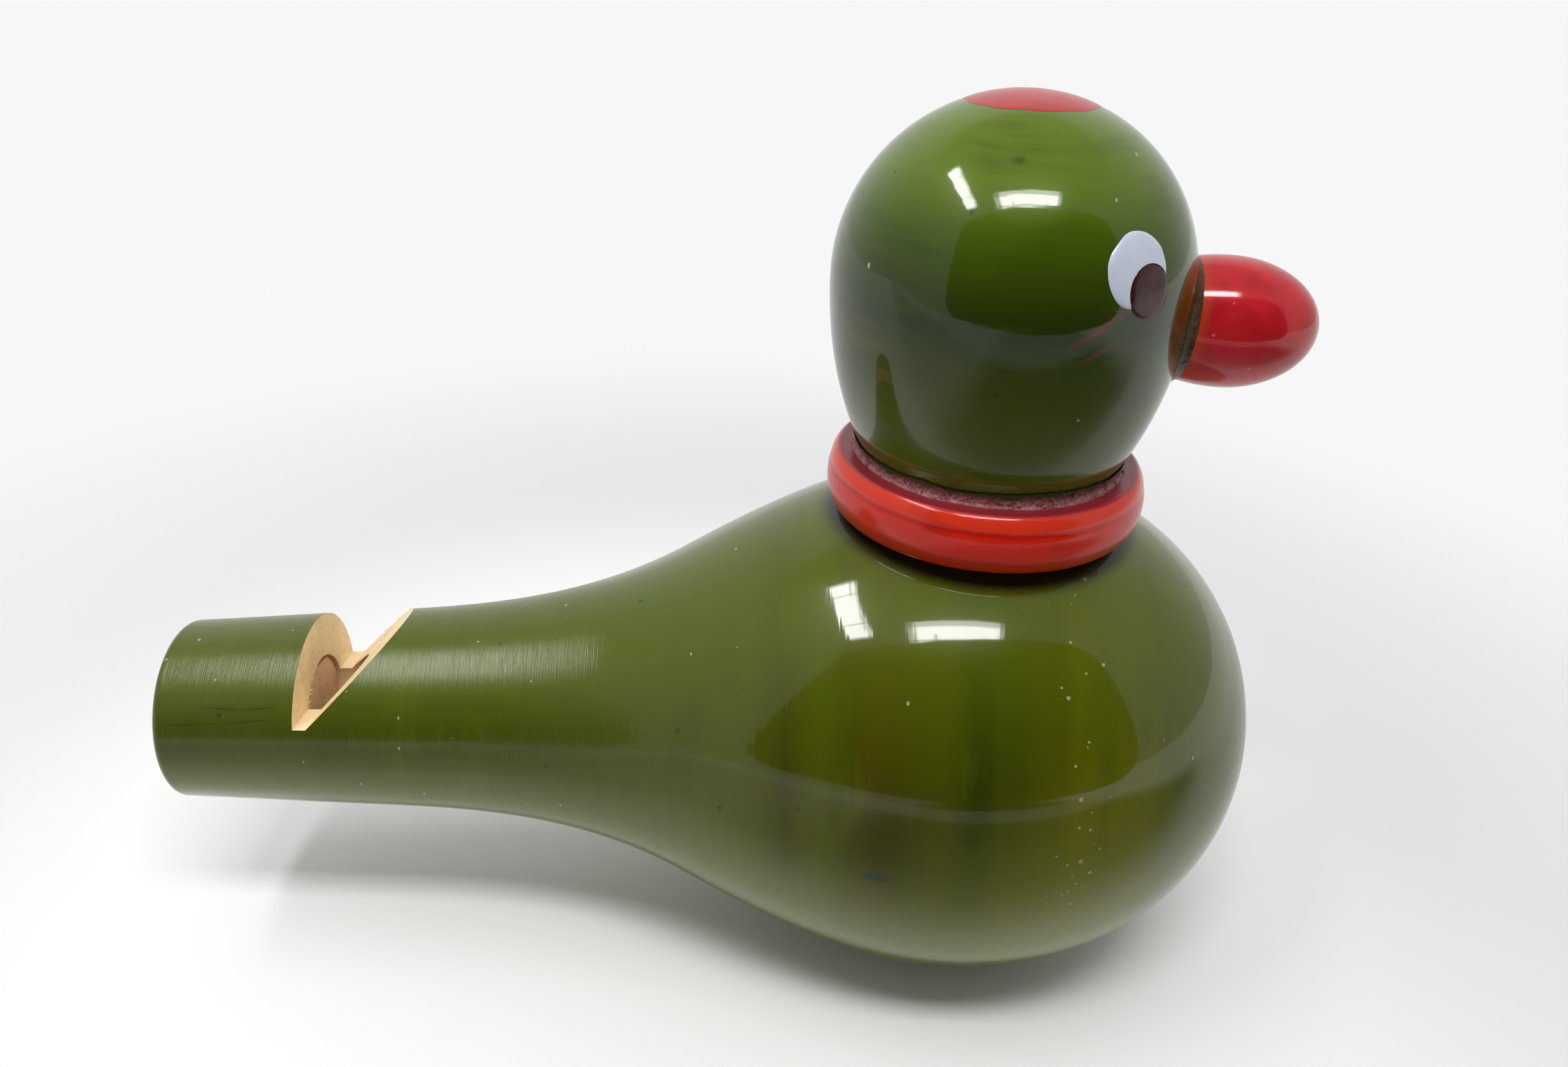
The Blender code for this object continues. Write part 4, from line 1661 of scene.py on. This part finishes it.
@dataclass
class Head:
    """The turned head with its crown spot and painted eyes."""

    x: float = 0.0009
    base_z: float = 0.0568
    wide: float = 0.0162
    crown_height: float = 0.0163
    cheek_height: float = 0.0164
    cheek_taper: float = 0.0254
    spot_r: float = 0.0061
    film: float = 0.00006
    hole_r: float = 0.0043
    dowel_in_head: float = 0.0110
    eye_spread: float = math.radians(55.5)
    eye_rise: float = math.radians(17.0)
    eye_r: float = 0.0031
    pupil_spread: float = math.radians(51.7)
    pupil_rise: float = math.radians(11.0)
    pupil_r: float = 0.0022
    spot_thick: float = 0.00004
    enamel: float = 0.00016
    film_around: int = 160
    film_across: int = 28
    edge_wave: float = 2.2
    steps: int = 320

    @property
    def centre(self) -> Vector:
        """The middle of the head's widest ring."""
        return Vector((self.x, 0.0, self.base_z + self.cheek_height))

    def cheek_r(self, height: float) -> float:
        """Give the radius below the widest ring.

        Args:
            height: The height from the widest ring, below nought.

        Returns:
            The radius.
        """
        return self.wide * math.sqrt(max(0.0, 1 - (height / self.cheek_taper) ** 2))

    def outline(self) -> Profile:
        """Follow the head from its crown to its foot.

        Returns:
            The points.
        """
        tall = self.crown_height - self.film
        crown = [(self.wide * math.sin(a), tall * math.cos(a)) for a in quarter(72)]
        crown[0] = (0.0, tall)
        heights = [-self.cheek_height * i / 56 for i in range(1, 57)]
        cheek = [(self.cheek_r(height), height) for height in heights]
        return crown + cheek + [(0.0, -self.cheek_height)]

    def tall_at(self, away: Vector) -> float:
        """Give the upright reach of the egg that a point lies on.

        Args:
            away: The way to the point from the head's middle.

        Returns:
            The reach of the crown above the widest ring, or of the cheek below.
        """
        return self.crown_height - self.film if away.z > 0 else self.cheek_taper

    def normal_from(self, away: Vector, tall: float) -> Vector:
        """Give an egg's normal.

        Args:
            away: The way to the place from the egg's middle.
            tall: The egg's upright reach.

        Returns:
            The normal.
        """
        flat = self.wide**2
        return Vector((away.x / flat, away.y / flat, away.z / tall**2)).normalized()

    def normal_at(self, point: Vector) -> Vector:
        """Give the head's normal near a point.

        Args:
            point: A point on or near its surface.

        Returns:
            The normal.
        """
        away = point - self.centre
        return self.normal_from(away, self.tall_at(away))

    def surface(self, turn: float, rise: float) -> Matrix:
        """Give a frame on the head whose Z leaves the surface.

        Args:
            turn: The angle round from +X.
            rise: The angle above the widest ring.

        Returns:
            The frame.
        """
        cos_rise, sin_rise, tall = math.cos(rise), math.sin(rise), self.crown_height
        way = Vector((cos_rise * math.cos(turn), cos_rise * math.sin(turn), sin_rise))
        scale = 1 / math.sqrt((cos_rise / self.wide) ** 2 + (sin_rise / tall) ** 2)
        away = way * scale
        return frame_on(self.centre + away, self.normal_from(away, tall))

    def make_ball(
        self, beak: "Beak", lacquer: bpy.types.Material, wood: bpy.types.Material
    ) -> None:
        """Turn the head, drill it for the dowel and the beak, and dress it.

        Args:
            beak: The beak that is let into it.
            lacquer: The green finish.
            wood: The finish of a bare cut.
        """
        work = turn_mesh(self.outline(), self.steps, closed=False)
        ball = to_piece("head_ball", work, Matrix.Translation(self.centre))
        foot, seat = Matrix.Translation((self.x, 0.0, self.base_z)), beak.place(self)
        tenon_r, tenon_foot = beak.tenon_r + beak.gap, -beak.tenon_length - beak.gap
        carve(
            ball,
            [
                (drum(self.hole_r, -PAST, self.dowel_in_head, foot), Coat.BARE),
                (drum(beak.base_r + beak.seat_clear, 0.0, PAST, seat), Coat.BARE),
                (drum(tenon_r, tenon_foot, PAST, seat), Coat.BARE),
            ],
        )
        shade_turned(ball, self.normal_at)
        dress(ball, "head", ["head"], lacquer, wood)

    def film_over(
        self,
        name: str,
        place: Matrix,
        radius: float,
        thick: float,
        wobble: float,
        notch: tuple[Vector, float] | None = None,
    ) -> bpy.types.Object:
        """Lay a thin rounded film of paint on the head.

        Args:
            name: The piece's name.
            place: The frame at the film's middle, its Z out of the head.
            radius: The film's radius.
            thick: Its thickness at the middle.
            wobble: How uneven its edge is, as a share of its radius.
            notch: The middle and radius of a round place left bare.

        Returns:
            The film.
        """
        around, across, wave = self.film_around, self.film_across, self.edge_wave
        seed = float(sum(ord(letter) for letter in name) % 97)
        work = bmesh.new()
        top, low = [], []
        for j in range(across + 1):
            share = j / across
            lift = thick * math.sqrt(max(0.0, 1 - share**8))
            upper, lower = [], []
            for i in range(around if j else 1):
                a = math.tau * i / around
                cos_a, sin_a = math.cos(a), math.sin(a)
                edge = 1 + wobble * noise.noise(Vector((wave * cos_a, wave * sin_a, seed)))
                out = radius * share * edge
                ground, normal = self.drop_to(place @ Vector((out * cos_a, out * sin_a, 0.0)))
                upper.append(work.verts.new(ground + normal * (HAIR + lift)))
                if j < across:
                    lower.append(work.verts.new(ground + normal * HAIR))
            top.append(upper)
            low.append(lower or upper)
        for rows in (top, low):
            for inner, outer in zip(rows, rows[1:]):
                for i in range(around):
                    k = (i + 1) % around
                    ring = [inner[i % len(inner)], outer[i], outer[k], inner[k % len(inner)]]
                    work.faces.new(list(dict.fromkeys(ring)))
        bmesh.ops.recalc_face_normals(work, faces=work.faces)
        film = to_piece(name, work)
        if notch is not None:
            middle, reach = notch
            hole = drum(reach, -PAST, PAST, frame_on(middle, (middle - self.centre).normalized()))
            carve(film, [(hole, Coat.LACQUER)])
        shade(film, 50.0)
        return film

    def drop_to(self, point: Vector) -> tuple[Vector, Vector]:
        """Drop a point onto the head.

        Args:
            point: A point near the head.

        Returns:
            The point on the head, and the normal there.
        """
        away = point - self.centre
        rise = away.z / self.tall_at(away)
        size = math.sqrt((away.x**2 + away.y**2) / self.wide**2 + rise**2)
        ground = self.centre + away / size
        return ground, self.normal_at(ground)

    def make_spot(self) -> None:
        """Paint the crown spot."""
        place = Matrix.Translation(self.centre + Vector((0.0, 0.0, self.crown_height)))
        spot = self.film_over("crown_paint", place, self.spot_r, self.spot_thick, wobble=0.05)
        dress(spot, "crown_spot", ["crown_spot"], SpotLacquer("red_crown").make())

    def make_eye(
        self, side: Side, beak: "Beak", white: bpy.types.Material, dark: bpy.types.Material
    ) -> None:
        """Paint one eye: a white drop, and the pupil over its lower front.

        Args:
            side: The side of the beak.
            beak: The beak, whose turn the eyes follow.
            white: The white enamel.
            dark: The pupil's enamel.
        """
        word = side.name.lower()
        eye = self.surface(beak.turn + side.value * self.eye_spread, self.eye_rise)
        pupil = self.surface(beak.turn + side.value * self.pupil_spread, self.pupil_rise)
        notch = (pupil.translation, self.pupil_r + HAIR)
        drop = self.film_over("eye_paint_" + word, eye, self.eye_r, self.enamel, 0.05, notch)
        dress(drop, "eye_white", ["eye_white_" + word], white)
        thick = self.enamel * 1.15
        dot = self.film_over("pupil_paint_" + word, pupil, self.pupil_r, thick, wobble=0.0)
        dress(dot, "pupil", ["pupil_" + word], dark)

    def lacquer(self) -> bpy.types.Material:
        """Mix the head's darker green, with its bands, which paint light, its blot and its
        reddish-brown streaks.

        Returns:
            The material.
        """
        low, high = self.base_z, self.centre.z + self.crown_height
        blot = Mark(
            (-0.0023, -0.0103, 0.0854), (0.0009, 0.0008, 0.0005), (0.036, 0.060, 0.0022), edge=0.2
        )
        # Two faint reddish-brown streaks under the near eye.
        red_brown_streaks = [
            Mark(centre, reach, (0.088, 0.030, 0.014), turn, share=0.75, edge=0.2)
            for centre, reach, turn in (
                ((0.0048, -0.0155, 0.0739), (0.0048, 0.0030, 0.00050), tilt(-30.0, 16.5)),
                ((0.0046, -0.0158, 0.0717), (0.0026, 0.0030, 0.00042), tilt(-29.0, 10.7)),
            )
        ]
        finish = GreenLacquer(
            "green_lacquer_head",
            Grain.UPRIGHT,
            (low, high),
            # Lathe bands that also paint light: a pale crown lit by the lamps, near black round
            # the widest ring where shade falls, paler again towards the foot.
            (
                (low, (0.050, 0.066, 0.0016)),
                (0.0640, (0.044, 0.059, 0.0014)),
                (0.0700, (0.028, 0.041, 0.0012)),
                (0.0730, (0.012, 0.023, 0.0010)),
                (0.0755, (0.022, 0.037, 0.0012)),
                (0.0780, (0.032, 0.056, 0.0016)),
                (0.0800, (0.044, 0.077, 0.0018)),
                (0.0840, (0.082, 0.134, 0.0028)),
                (high, (0.088, 0.145, 0.0030)),
            ),
            deep=(0.020, 0.034, 0.0014),
            pale=(0.070, 0.100, 0.0030),
            dust_share=0.020,
            bubble_ring=(0.0652, 0.0660),
            brushed=(0.0520, 0.0500),
            marks=(blot, *red_brown_streaks),
            painted_top_share=0.0,
            painted_under_share=0.0,
        )
        return finish.make()

    def build(self, beak: "Beak") -> None:
        """Build the head, its spot and its eyes.

        Args:
            beak: The beak that is let into it.
        """
        self.make_ball(beak, self.lacquer(), BareWood("head_wood").make())
        self.make_spot()
        white = Enamel("eye_enamel", (0.52, 0.56, 0.66), (0.46, 0.52, 0.60)).make()
        dark = Enamel("pupil_enamel", (0.038, 0.011, 0.011), (0.062, 0.026, 0.024), gloss=0.12)
        dark = dark.make()
        for side in Side:
            self.make_eye(side, beak, white, dark)


# --------------------------------------------------------------------------
# The beak
# --------------------------------------------------------------------------


@dataclass
class Beak:
    """The egg-shaped beak with its tenon, and the glue round its foot."""

    turn: float = math.radians(-9.6)
    droop: float = math.radians(2.0)
    below_equator: float = 0.0018
    seat_depth: float = 0.0006
    base_r: float = 0.0055
    wide: float = 0.00588
    length: float = 0.0118
    belly: float = 0.0036
    tenon_r: float = 0.0030
    tenon_length: float = 0.0075
    gap: float = 0.0003
    seat_clear: float = 0.0001
    glue_spread: float = 0.0007
    glue_lip: float = 0.0005
    glue_clear: float = 0.00002
    glue_around: int = 720
    glue_across: int = 20
    lump_height: float = 0.00007
    lump_scale: float = 1700.0
    steps: int = 256

    def place(self, head: Head) -> Matrix:
        """Give the frame on the head whose Z runs out along the beak.

        Args:
            head: The head.

        Returns:
            The frame.
        """
        droop = Matrix.Rotation(math.pi / 2 + self.droop, 4, "Y")
        lean = Matrix.Rotation(self.turn, 4, "Z") @ droop
        out = (lean @ Vector((0.0, 0.0, 1.0))).normalized()
        centre = head.centre - Vector((0.0, 0.0, self.below_equator))
        return Matrix.Translation(centre + out * (head.wide - self.seat_depth)) @ lean

    def radius(self, height: float) -> float:
        """Give the beak's radius at a height from its shoulder.

        Args:
            height: The height along the beak.

        Returns:
            The radius.
        """
        if height >= self.belly:
            share = min(1.0, (height - self.belly) / (self.length - self.belly))
            return self.wide * math.sqrt(1 - share**2)
        reach = self.belly / math.sqrt(1 - (self.base_r / self.wide) ** 2)
        return self.wide * math.sqrt(1 - ((self.belly - height) / reach) ** 2)

    def make_egg(self, head: Head) -> None:
        """Turn the beak and dress it.

        Args:
            head: The head that it is let into.
        """
        nose = self.length - self.belly
        front = [(self.wide * math.sin(a), self.belly + nose * math.cos(a)) for a in quarter(64)]
        front[0] = (0.0, self.length)
        back = [(self.radius(h), h) for h in (self.belly * (1 - i / 28) for i in range(1, 29))]
        end = -self.tenon_length
        tenon = [(self.tenon_r, 0.0), (self.tenon_r, end), (0.0, end)]
        place = self.place(head) @ Matrix.Translation((0.0, 0.0, self.gap))
        work = turn_mesh(front + back + tenon, self.steps, closed=False)
        egg = to_piece("beak_egg", work, place)
        shade(egg)
        out = (place.to_3x3() @ Vector((0.0, 0.0, 1.0))).normalized()
        finish = RedLacquer("red_beak", tuple(place.translation), tuple(out))
        dress(egg, "beak", ["beak"], finish.make())

    def glue_mesh(self, head: Head) -> bmesh.types.BMesh:
        """Run an uneven bead of glue round the beak's foot, down to the head.

        Args:
            head: The head that the bead lies on.

        Returns:
            The mesh.
        """
        place, clear = self.place(head), self.glue_clear
        lip, seat_r = Vector((0.0, 0.0, self.glue_lip)), self.base_r + self.seat_clear
        work = bmesh.new()
        sections = []
        for i in range(self.glue_around):
            a = math.tau * i / self.glue_around
            way = Vector((math.cos(a), math.sin(a), 0.0))
            side = (place.to_3x3() @ way).normalized()
            spread = self.glue_spread * (0.62 + 0.30 * max(0.0, -side.y - 0.4 * side.z))
            spread *= 1 + 0.16 * noise.noise(Vector((4 * way.x, 4 * way.y, 5.0)))
            inner = place @ (way * (self.base_r + clear) + lip)
            foot, normal = head.drop_to(place @ (way * (seat_r + spread)))
            start, _ = head.drop_to(place @ (way * (seat_r + clear)))
            section = []
            for j in range(self.glue_across + 1):
                t = j / self.glue_across
                belly = math.sin(math.pi * t)
                bow = inner.lerp(foot, t).lerp(start.lerp(foot, t), 0.35 * belly)
                lump = self.lump_height * noise.noise(bow * self.lump_scale) * belly
                at = bow + (side * 0.5 + normal * 0.5) * lump + normal * clear
                section.append(work.verts.new(at))
            section.append(work.verts.new(start + normal * HAIR))
            sections.append(section)
        join_sections(work, sections)
        return work

    def make_glue(self, head: Head) -> None:
        """Make the bead of glue and dress it.

        Args:
            head: The head that the bead lies on.
        """
        glue = to_piece("beak_glue_bead", self.glue_mesh(head))
        shade(glue, 60.0)
        finish = DriedGlue("brown_glue", (0.030, 0.014, 0.003), (0.085, 0.042, 0.012), shine=0.12)
        dress(glue, "beak_glue", ["beak_glue"], finish.make())

    def build(self, head: Head) -> None:
        """Build the beak and its glue.

        Args:
            head: The head that it is let into.
        """
        self.make_egg(head)
        self.make_glue(head)


# --------------------------------------------------------------------------
# The studio and the viewpoint
# --------------------------------------------------------------------------


@dataclass
class Lamp:
    """One soft overhead panel: a light for matt faces, a sheet for the gloss."""

    name: str
    middle: Point
    length: float
    width: float
    turn: float
    radiance: float
    core: float
    ends: tuple[float, float]
    ties: tuple[float, float]
    tie_reach: float
    veil: float
    far_edge: float
    end_dim: float = 0.30
    tie_width: tuple[float, float] = (0.010, 0.004)
    seam_low: tuple[float, float] = (0.05, 0.065)
    seam_high: tuple[float, float] = (0.14, 0.12)
    dim: float = 0.75
    parts: int = 3

    def build(self) -> None:
        """Hang the panel, looking down at the whistle."""
        part = self.length / self.parts
        turn = Matrix.Rotation(self.turn, 3, "Z")
        for i in range(self.parts):
            data = bpy.data.lights.new(f"{self.name}_{i}", "AREA")
            data.shape = "RECTANGLE"
            data.size, data.size_y = part, self.width
            data.energy = self.radiance * math.pi * part * self.width
            lamp = bpy.data.objects.new(data.name, data)
            along = (i - (self.parts - 1) / 2) * part
            lamp.location = Vector(self.middle) + turn @ Vector((along, 0.0, 0.0))
            lamp.rotation_euler = (0.0, 0.0, self.turn)
            lamp.visible_camera = lamp.visible_glossy = False
            bpy.context.scene.collection.objects.link(lamp)
        self.hang_sheet()

    def glow_level(self, recipe: Recipe) -> Socket:
        """Dim the sheet's glow at its ends, its ties, its far edge and its near seam.

        Args:
            recipe: The sheet's material.

        Returns:
            The glow, as a share of the core's.
        """
        along, over, _ = recipe.split(recipe.place)
        u = recipe.level(along, -self.length / 2, self.length / 2)
        v = recipe.level(over, -self.width / 2, self.width / 2)
        first, last, veil = self.ends[0], 1 - self.ends[1], 1 - self.veil
        level = recipe.window(u, first - 0.02, first + 0.01, base=self.end_dim)
        last_end = recipe.window(u, last + 0.02, last - 0.01, base=self.end_dim)
        level = recipe.times(level, last_end)
        for at in self.ties:
            away = recipe.calc("ABSOLUTE", recipe.calc("SUBTRACT", u, at))
            tie = recipe.window(away, *self.tie_width, top=self.dim)
            tie = recipe.times(tie, recipe.window(v, self.tie_reach + 0.05, self.tie_reach))
            level = recipe.times(level, recipe.other(tie))
        far_edge = recipe.window(v, veil + 0.03, veil - 0.02, base=self.far_edge)
        level = recipe.times(level, far_edge)
        seam = recipe.times(recipe.window(v, *self.seam_low), recipe.window(v, *self.seam_high))
        return recipe.times(level, recipe.other(recipe.times(seam, self.dim)))

    def hang_sheet(self) -> None:
        """Hang the glowing sheet that only the gloss mirrors."""
        x, y = self.length / 2, self.width / 2
        work = bmesh.new()
        corners = ((-x, -y, 0.0), (-x, y, 0.0), (x, y, 0.0), (x, -y, 0.0))
        work.faces.new([work.verts.new(corner) for corner in corners])
        sheet = to_piece(self.name + "_sheet", work)
        sheet.location, sheet.rotation_euler = self.middle, (0.0, 0.0, self.turn)
        recipe = Recipe(self.name + "_cloth")
        recipe.surface(recipe.glow(recipe.times(self.glow_level(recipe), self.core)))
        sheet.data.materials.append(recipe.material)
        sheet.visible_camera = sheet.visible_diffuse = sheet.visible_shadow = False
        sheet.visible_transmission = sheet.visible_volume_scatter = False


@dataclass
class Studio:
    """The pale floor, the lamps, the dark opening in front and the tent."""

    lamp_height: float = 0.33
    front_radiance: float = 20.0
    left_radiance: float = 15.0
    core: float = 22.0
    fill: float = 0.76
    seen: float = 0.93
    tent_side: float = 0.46
    tent_back: float = 0.78
    tent_top: float = 0.34
    side_to_back: tuple[float, float] = (0.0, 0.9)
    top_edge: tuple[float, float] = (0.73, 0.81)
    floor_tone: float = 0.90
    far_tone: float = 0.72
    tone_reach: tuple[float, float] = (0.045, 0.115)
    floor_half: float = 3.0
    middle_x: float = -0.025
    near_floor: float = 0.080
    far_floor: float = 0.200
    floor_bounce: float = 0.05
    floor_strips: tuple[tuple[float, float], ...] = (
        (-0.300, 0.02),
        (-0.268, 0.02),
        (-0.248, 0.50),
        (-0.170, 0.50),
        (-0.150, 0.10),
        (-0.110, 0.08),
        (-0.085, 0.12),
        (-0.060, 0.17),
        (-0.047, 0.30),
        (-0.038, 0.55),
        (-0.029, 0.82),
        (-0.010, 0.86),
    )
    opening_y: float = -0.12
    opening_left: float = -0.162
    opening_right: float = 0.190
    opening_high: float = 0.250
    opening_foot_y: float = -0.224
    opening_foot_spread: float = 1.6
    opening_low: float = 0.0157

    def hang_lamps(self) -> None:
        """Hang the wide front panel and the narrow left one."""
        h = self.lamp_height
        skew = math.radians(-5.3)
        front = Lamp(
            "front_panel",
            (-0.035 * h, -0.42 * h, h),
            0.55 * h,
            0.175 * h,
            skew,
            self.front_radiance,
            self.core,
            ends=(0.09, 0.06),
            ties=(0.27, 0.79),
            tie_reach=0.35,
            veil=0.25,
            far_edge=0.45,
        )
        left = Lamp(
            "left_panel",
            (-0.51 * h, -0.13 * h, h),
            0.52 * h,
            0.11 * h,
            skew + math.pi / 2,
            self.left_radiance,
            self.core,
            ends=(0.04, 0.04),
            ties=(0.27, 0.77),
            tie_reach=1.0,
            veil=0.12,
            far_edge=1.25,
        )
        front.build()
        left.build()

    def floor_colour(self, recipe: Recipe, rays: bpy.types.NodeOutputs) -> Socket:
        """Colour the floor: white as seen, and in strips of shade as the gloss mirrors it.

        Args:
            recipe: The floor's material.
            rays: Which kind of ray arrives.

        Returns:
            The colour.
        """
        x, y, _ = recipe.split(recipe.place)
        first = self.floor_strips[0][0]
        stops = [((at - first) / -first, (tone,) * 3) for at, tone in self.floor_strips]
        strips = recipe.ramp(recipe.level(y, first, 0.0), stops)
        left, right = recipe.window(x, -0.09, -0.03, base=0.45), recipe.window(x, 0.20, 0.12)
        bounce = recipe.times(rays["Is Diffuse Ray"], self.floor_bounce)
        mirrored = recipe.add(rays["Is Glossy Ray"], bounce)
        return recipe.mix(recipe.times(mirrored, recipe.times(left, right)), WHITE, strips)

    def floor_paper(self) -> bpy.types.Material:
        """Make the floor's material: paper near the whistle, and plain white far off.

        Its reach is measured from under the whistle's middle. The paper darkens a
        little with it, so that the lamps don't clip it.

        Returns:
            The material.
        """
        recipe = Recipe("floor_paper")
        recipe.set(Roughness=0.9, Specular_IOR_Level=0.0)
        rays = recipe.node("LightPath", {}, 0).node.outputs
        colour = self.floor_colour(recipe, rays)
        reach = recipe.length(recipe.stretch((1.0, 1.0, 1.0), (-self.middle_x, 0.0, 0.0)))
        tone = recipe.window(reach, *self.tone_reach, base=self.floor_tone, top=self.far_tone)
        recipe.to("Base Color", recipe.mix(1.0, colour, tone, mode="MULTIPLY"))
        far = recipe.window(reach, self.near_floor, self.far_floor)
        seen = recipe.either(rays["Is Camera Ray"], rays["Is Glossy Ray"])
        share = recipe.times(far, recipe.either(seen, rays["Is Transmission Ray"]))
        white = recipe.glow(self.seen, colour)
        values = {0: share, 1: recipe.shader.outputs["BSDF"], 2: white}
        recipe.surface(recipe.node("MixShader", values, "Shader"))
        return recipe.material

    def lay_floor(self) -> None:
        """Lay the wide floor that takes the whistle's shadow."""
        work = bmesh.new()
        size = self.floor_half
        corners = [(-size, -size, 0.0), (size, -size, 0.0), (size, size, 0.0), (-size, size, 0.0)]
        work.faces.new([work.verts.new(corner) for corner in corners])
        floor = to_piece("floor", work)
        floor.data.materials.append(self.floor_paper())

    def opening_edge(self) -> list[Point]:
        """Follow the opening, which widens and leans away from the whistle to its foot.

        Returns:
            The points.
        """
        corners = (
            (self.opening_right, self.opening_low, 0.060, -90.0),
            (self.opening_right, self.opening_high, 0.040, 0.0),
            (self.opening_left, self.opening_high, 0.003, 90.0),
            (self.opening_left, self.opening_low, 0.042, 180.0),
        )
        drop, lean = self.opening_high - self.opening_low, self.opening_foot_y - self.opening_y
        edge = []
        for x, z, soft, start in corners:
            middle_x = x - math.copysign(soft, x)
            middle_z = z + soft if z == self.opening_low else z - soft
            for a in quarter(12):
                a += math.radians(start)
                z_here = middle_z + soft * math.sin(a)
                fall = (self.opening_high - z_here) / drop
                spread = 1 + (self.opening_foot_spread - 1) * fall
                x_here = (middle_x + soft * math.cos(a)) * spread
                edge.append((x_here, self.opening_y + lean * fall, z_here))
        return edge

    def stand_opening(self) -> None:
        """Stand the tent's dark opening behind the camera, which never sees it."""
        work = bmesh.new()
        work.faces.new([work.verts.new(point) for point in self.opening_edge()])
        opening = to_piece("dark_opening", work)
        recipe = Recipe("dark_room")
        recipe.set(Base_Color=(0.01, 0.01, 0.01), Roughness=1.0, Specular_IOR_Level=0.0)
        opening.data.materials.append(recipe.material)
        opening.visible_camera = opening.visible_shadow = False
        opening.visible_transmission = opening.visible_volume_scatter = False

    def light_sky(self) -> None:
        """Light the tent evenly, and set what the camera and the gloss see of it."""
        world = bpy.data.worlds.new("tent")
        world.use_nodes = True
        nodes = Nodes(world.node_tree, "Generated")
        back = nodes.tree.nodes["Background"]
        rays = nodes.node("LightPath", {}, 0).node.outputs
        _, y, z = nodes.split(nodes.place)
        cloth = nodes.window(y, *self.side_to_back, top=self.tent_back, base=self.tent_side)
        cloth = nodes.blend(nodes.window(z, *self.top_edge), cloth, self.tent_top)
        level = nodes.blend(rays["Is Glossy Ray"], self.fill, cloth)
        level = nodes.blend(rays["Is Camera Ray"], level, self.seen)
        nodes.feed(back.inputs["Strength"], level)
        nodes.feed(back.inputs["Color"], WHITE)
        bpy.context.scene.world = world

    def build(self) -> None:
        """Set the whole studio up."""
        self.hang_lamps()
        self.lay_floor()
        self.stand_opening()
        self.light_sky()


@dataclass
class Viewpoint:
    """Where the photograph was taken from."""

    target: Point = (-0.01861, 0.0, 0.04701)
    distance: float = 0.11232
    yaw: float = math.radians(4.142)
    elevation: float = math.radians(28.16)
    roll: float = math.radians(2.25)
    lens: float = 25.59
    sensor: float = 36.0

    def build(self) -> None:
        """Set the camera up."""
        data = bpy.data.cameras.new("viewpoint")
        data.lens = self.lens
        data.sensor_width = self.sensor
        data.clip_start = 0.005
        data.clip_end = 20.0
        camera = bpy.data.objects.new("viewpoint", data)
        ahead = Vector(
            (
                math.sin(self.yaw) * math.cos(self.elevation),
                math.cos(self.yaw) * math.cos(self.elevation),
                -math.sin(self.elevation),
            )
        )
        level = Vector((math.cos(self.yaw), -math.sin(self.yaw), 0.0))
        upright = level.cross(ahead)
        right = math.cos(self.roll) * level + math.sin(self.roll) * upright
        over = right.cross(ahead)
        turn = Matrix((right, over, -ahead)).transposed().to_4x4()
        stand = Vector(self.target) - ahead * self.distance
        camera.matrix_world = Matrix.Translation(stand) @ turn
        bpy.context.scene.collection.objects.link(camera)
        bpy.context.scene.camera = camera


def main() -> None:
    """Build everything and report each piece."""
    logging.basicConfig(level=logging.INFO, format="%(name)s: %(message)s")
    bpy.context.scene.view_settings.view_transform = "Standard"
    Viewpoint().build()
    Studio().build()
    head, beak = Head(), Beak()
    Body().build()
    Collar().build(head)
    head.build(beak)
    beak.build(head)
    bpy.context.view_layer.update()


if __name__ == "__main__":
    main()
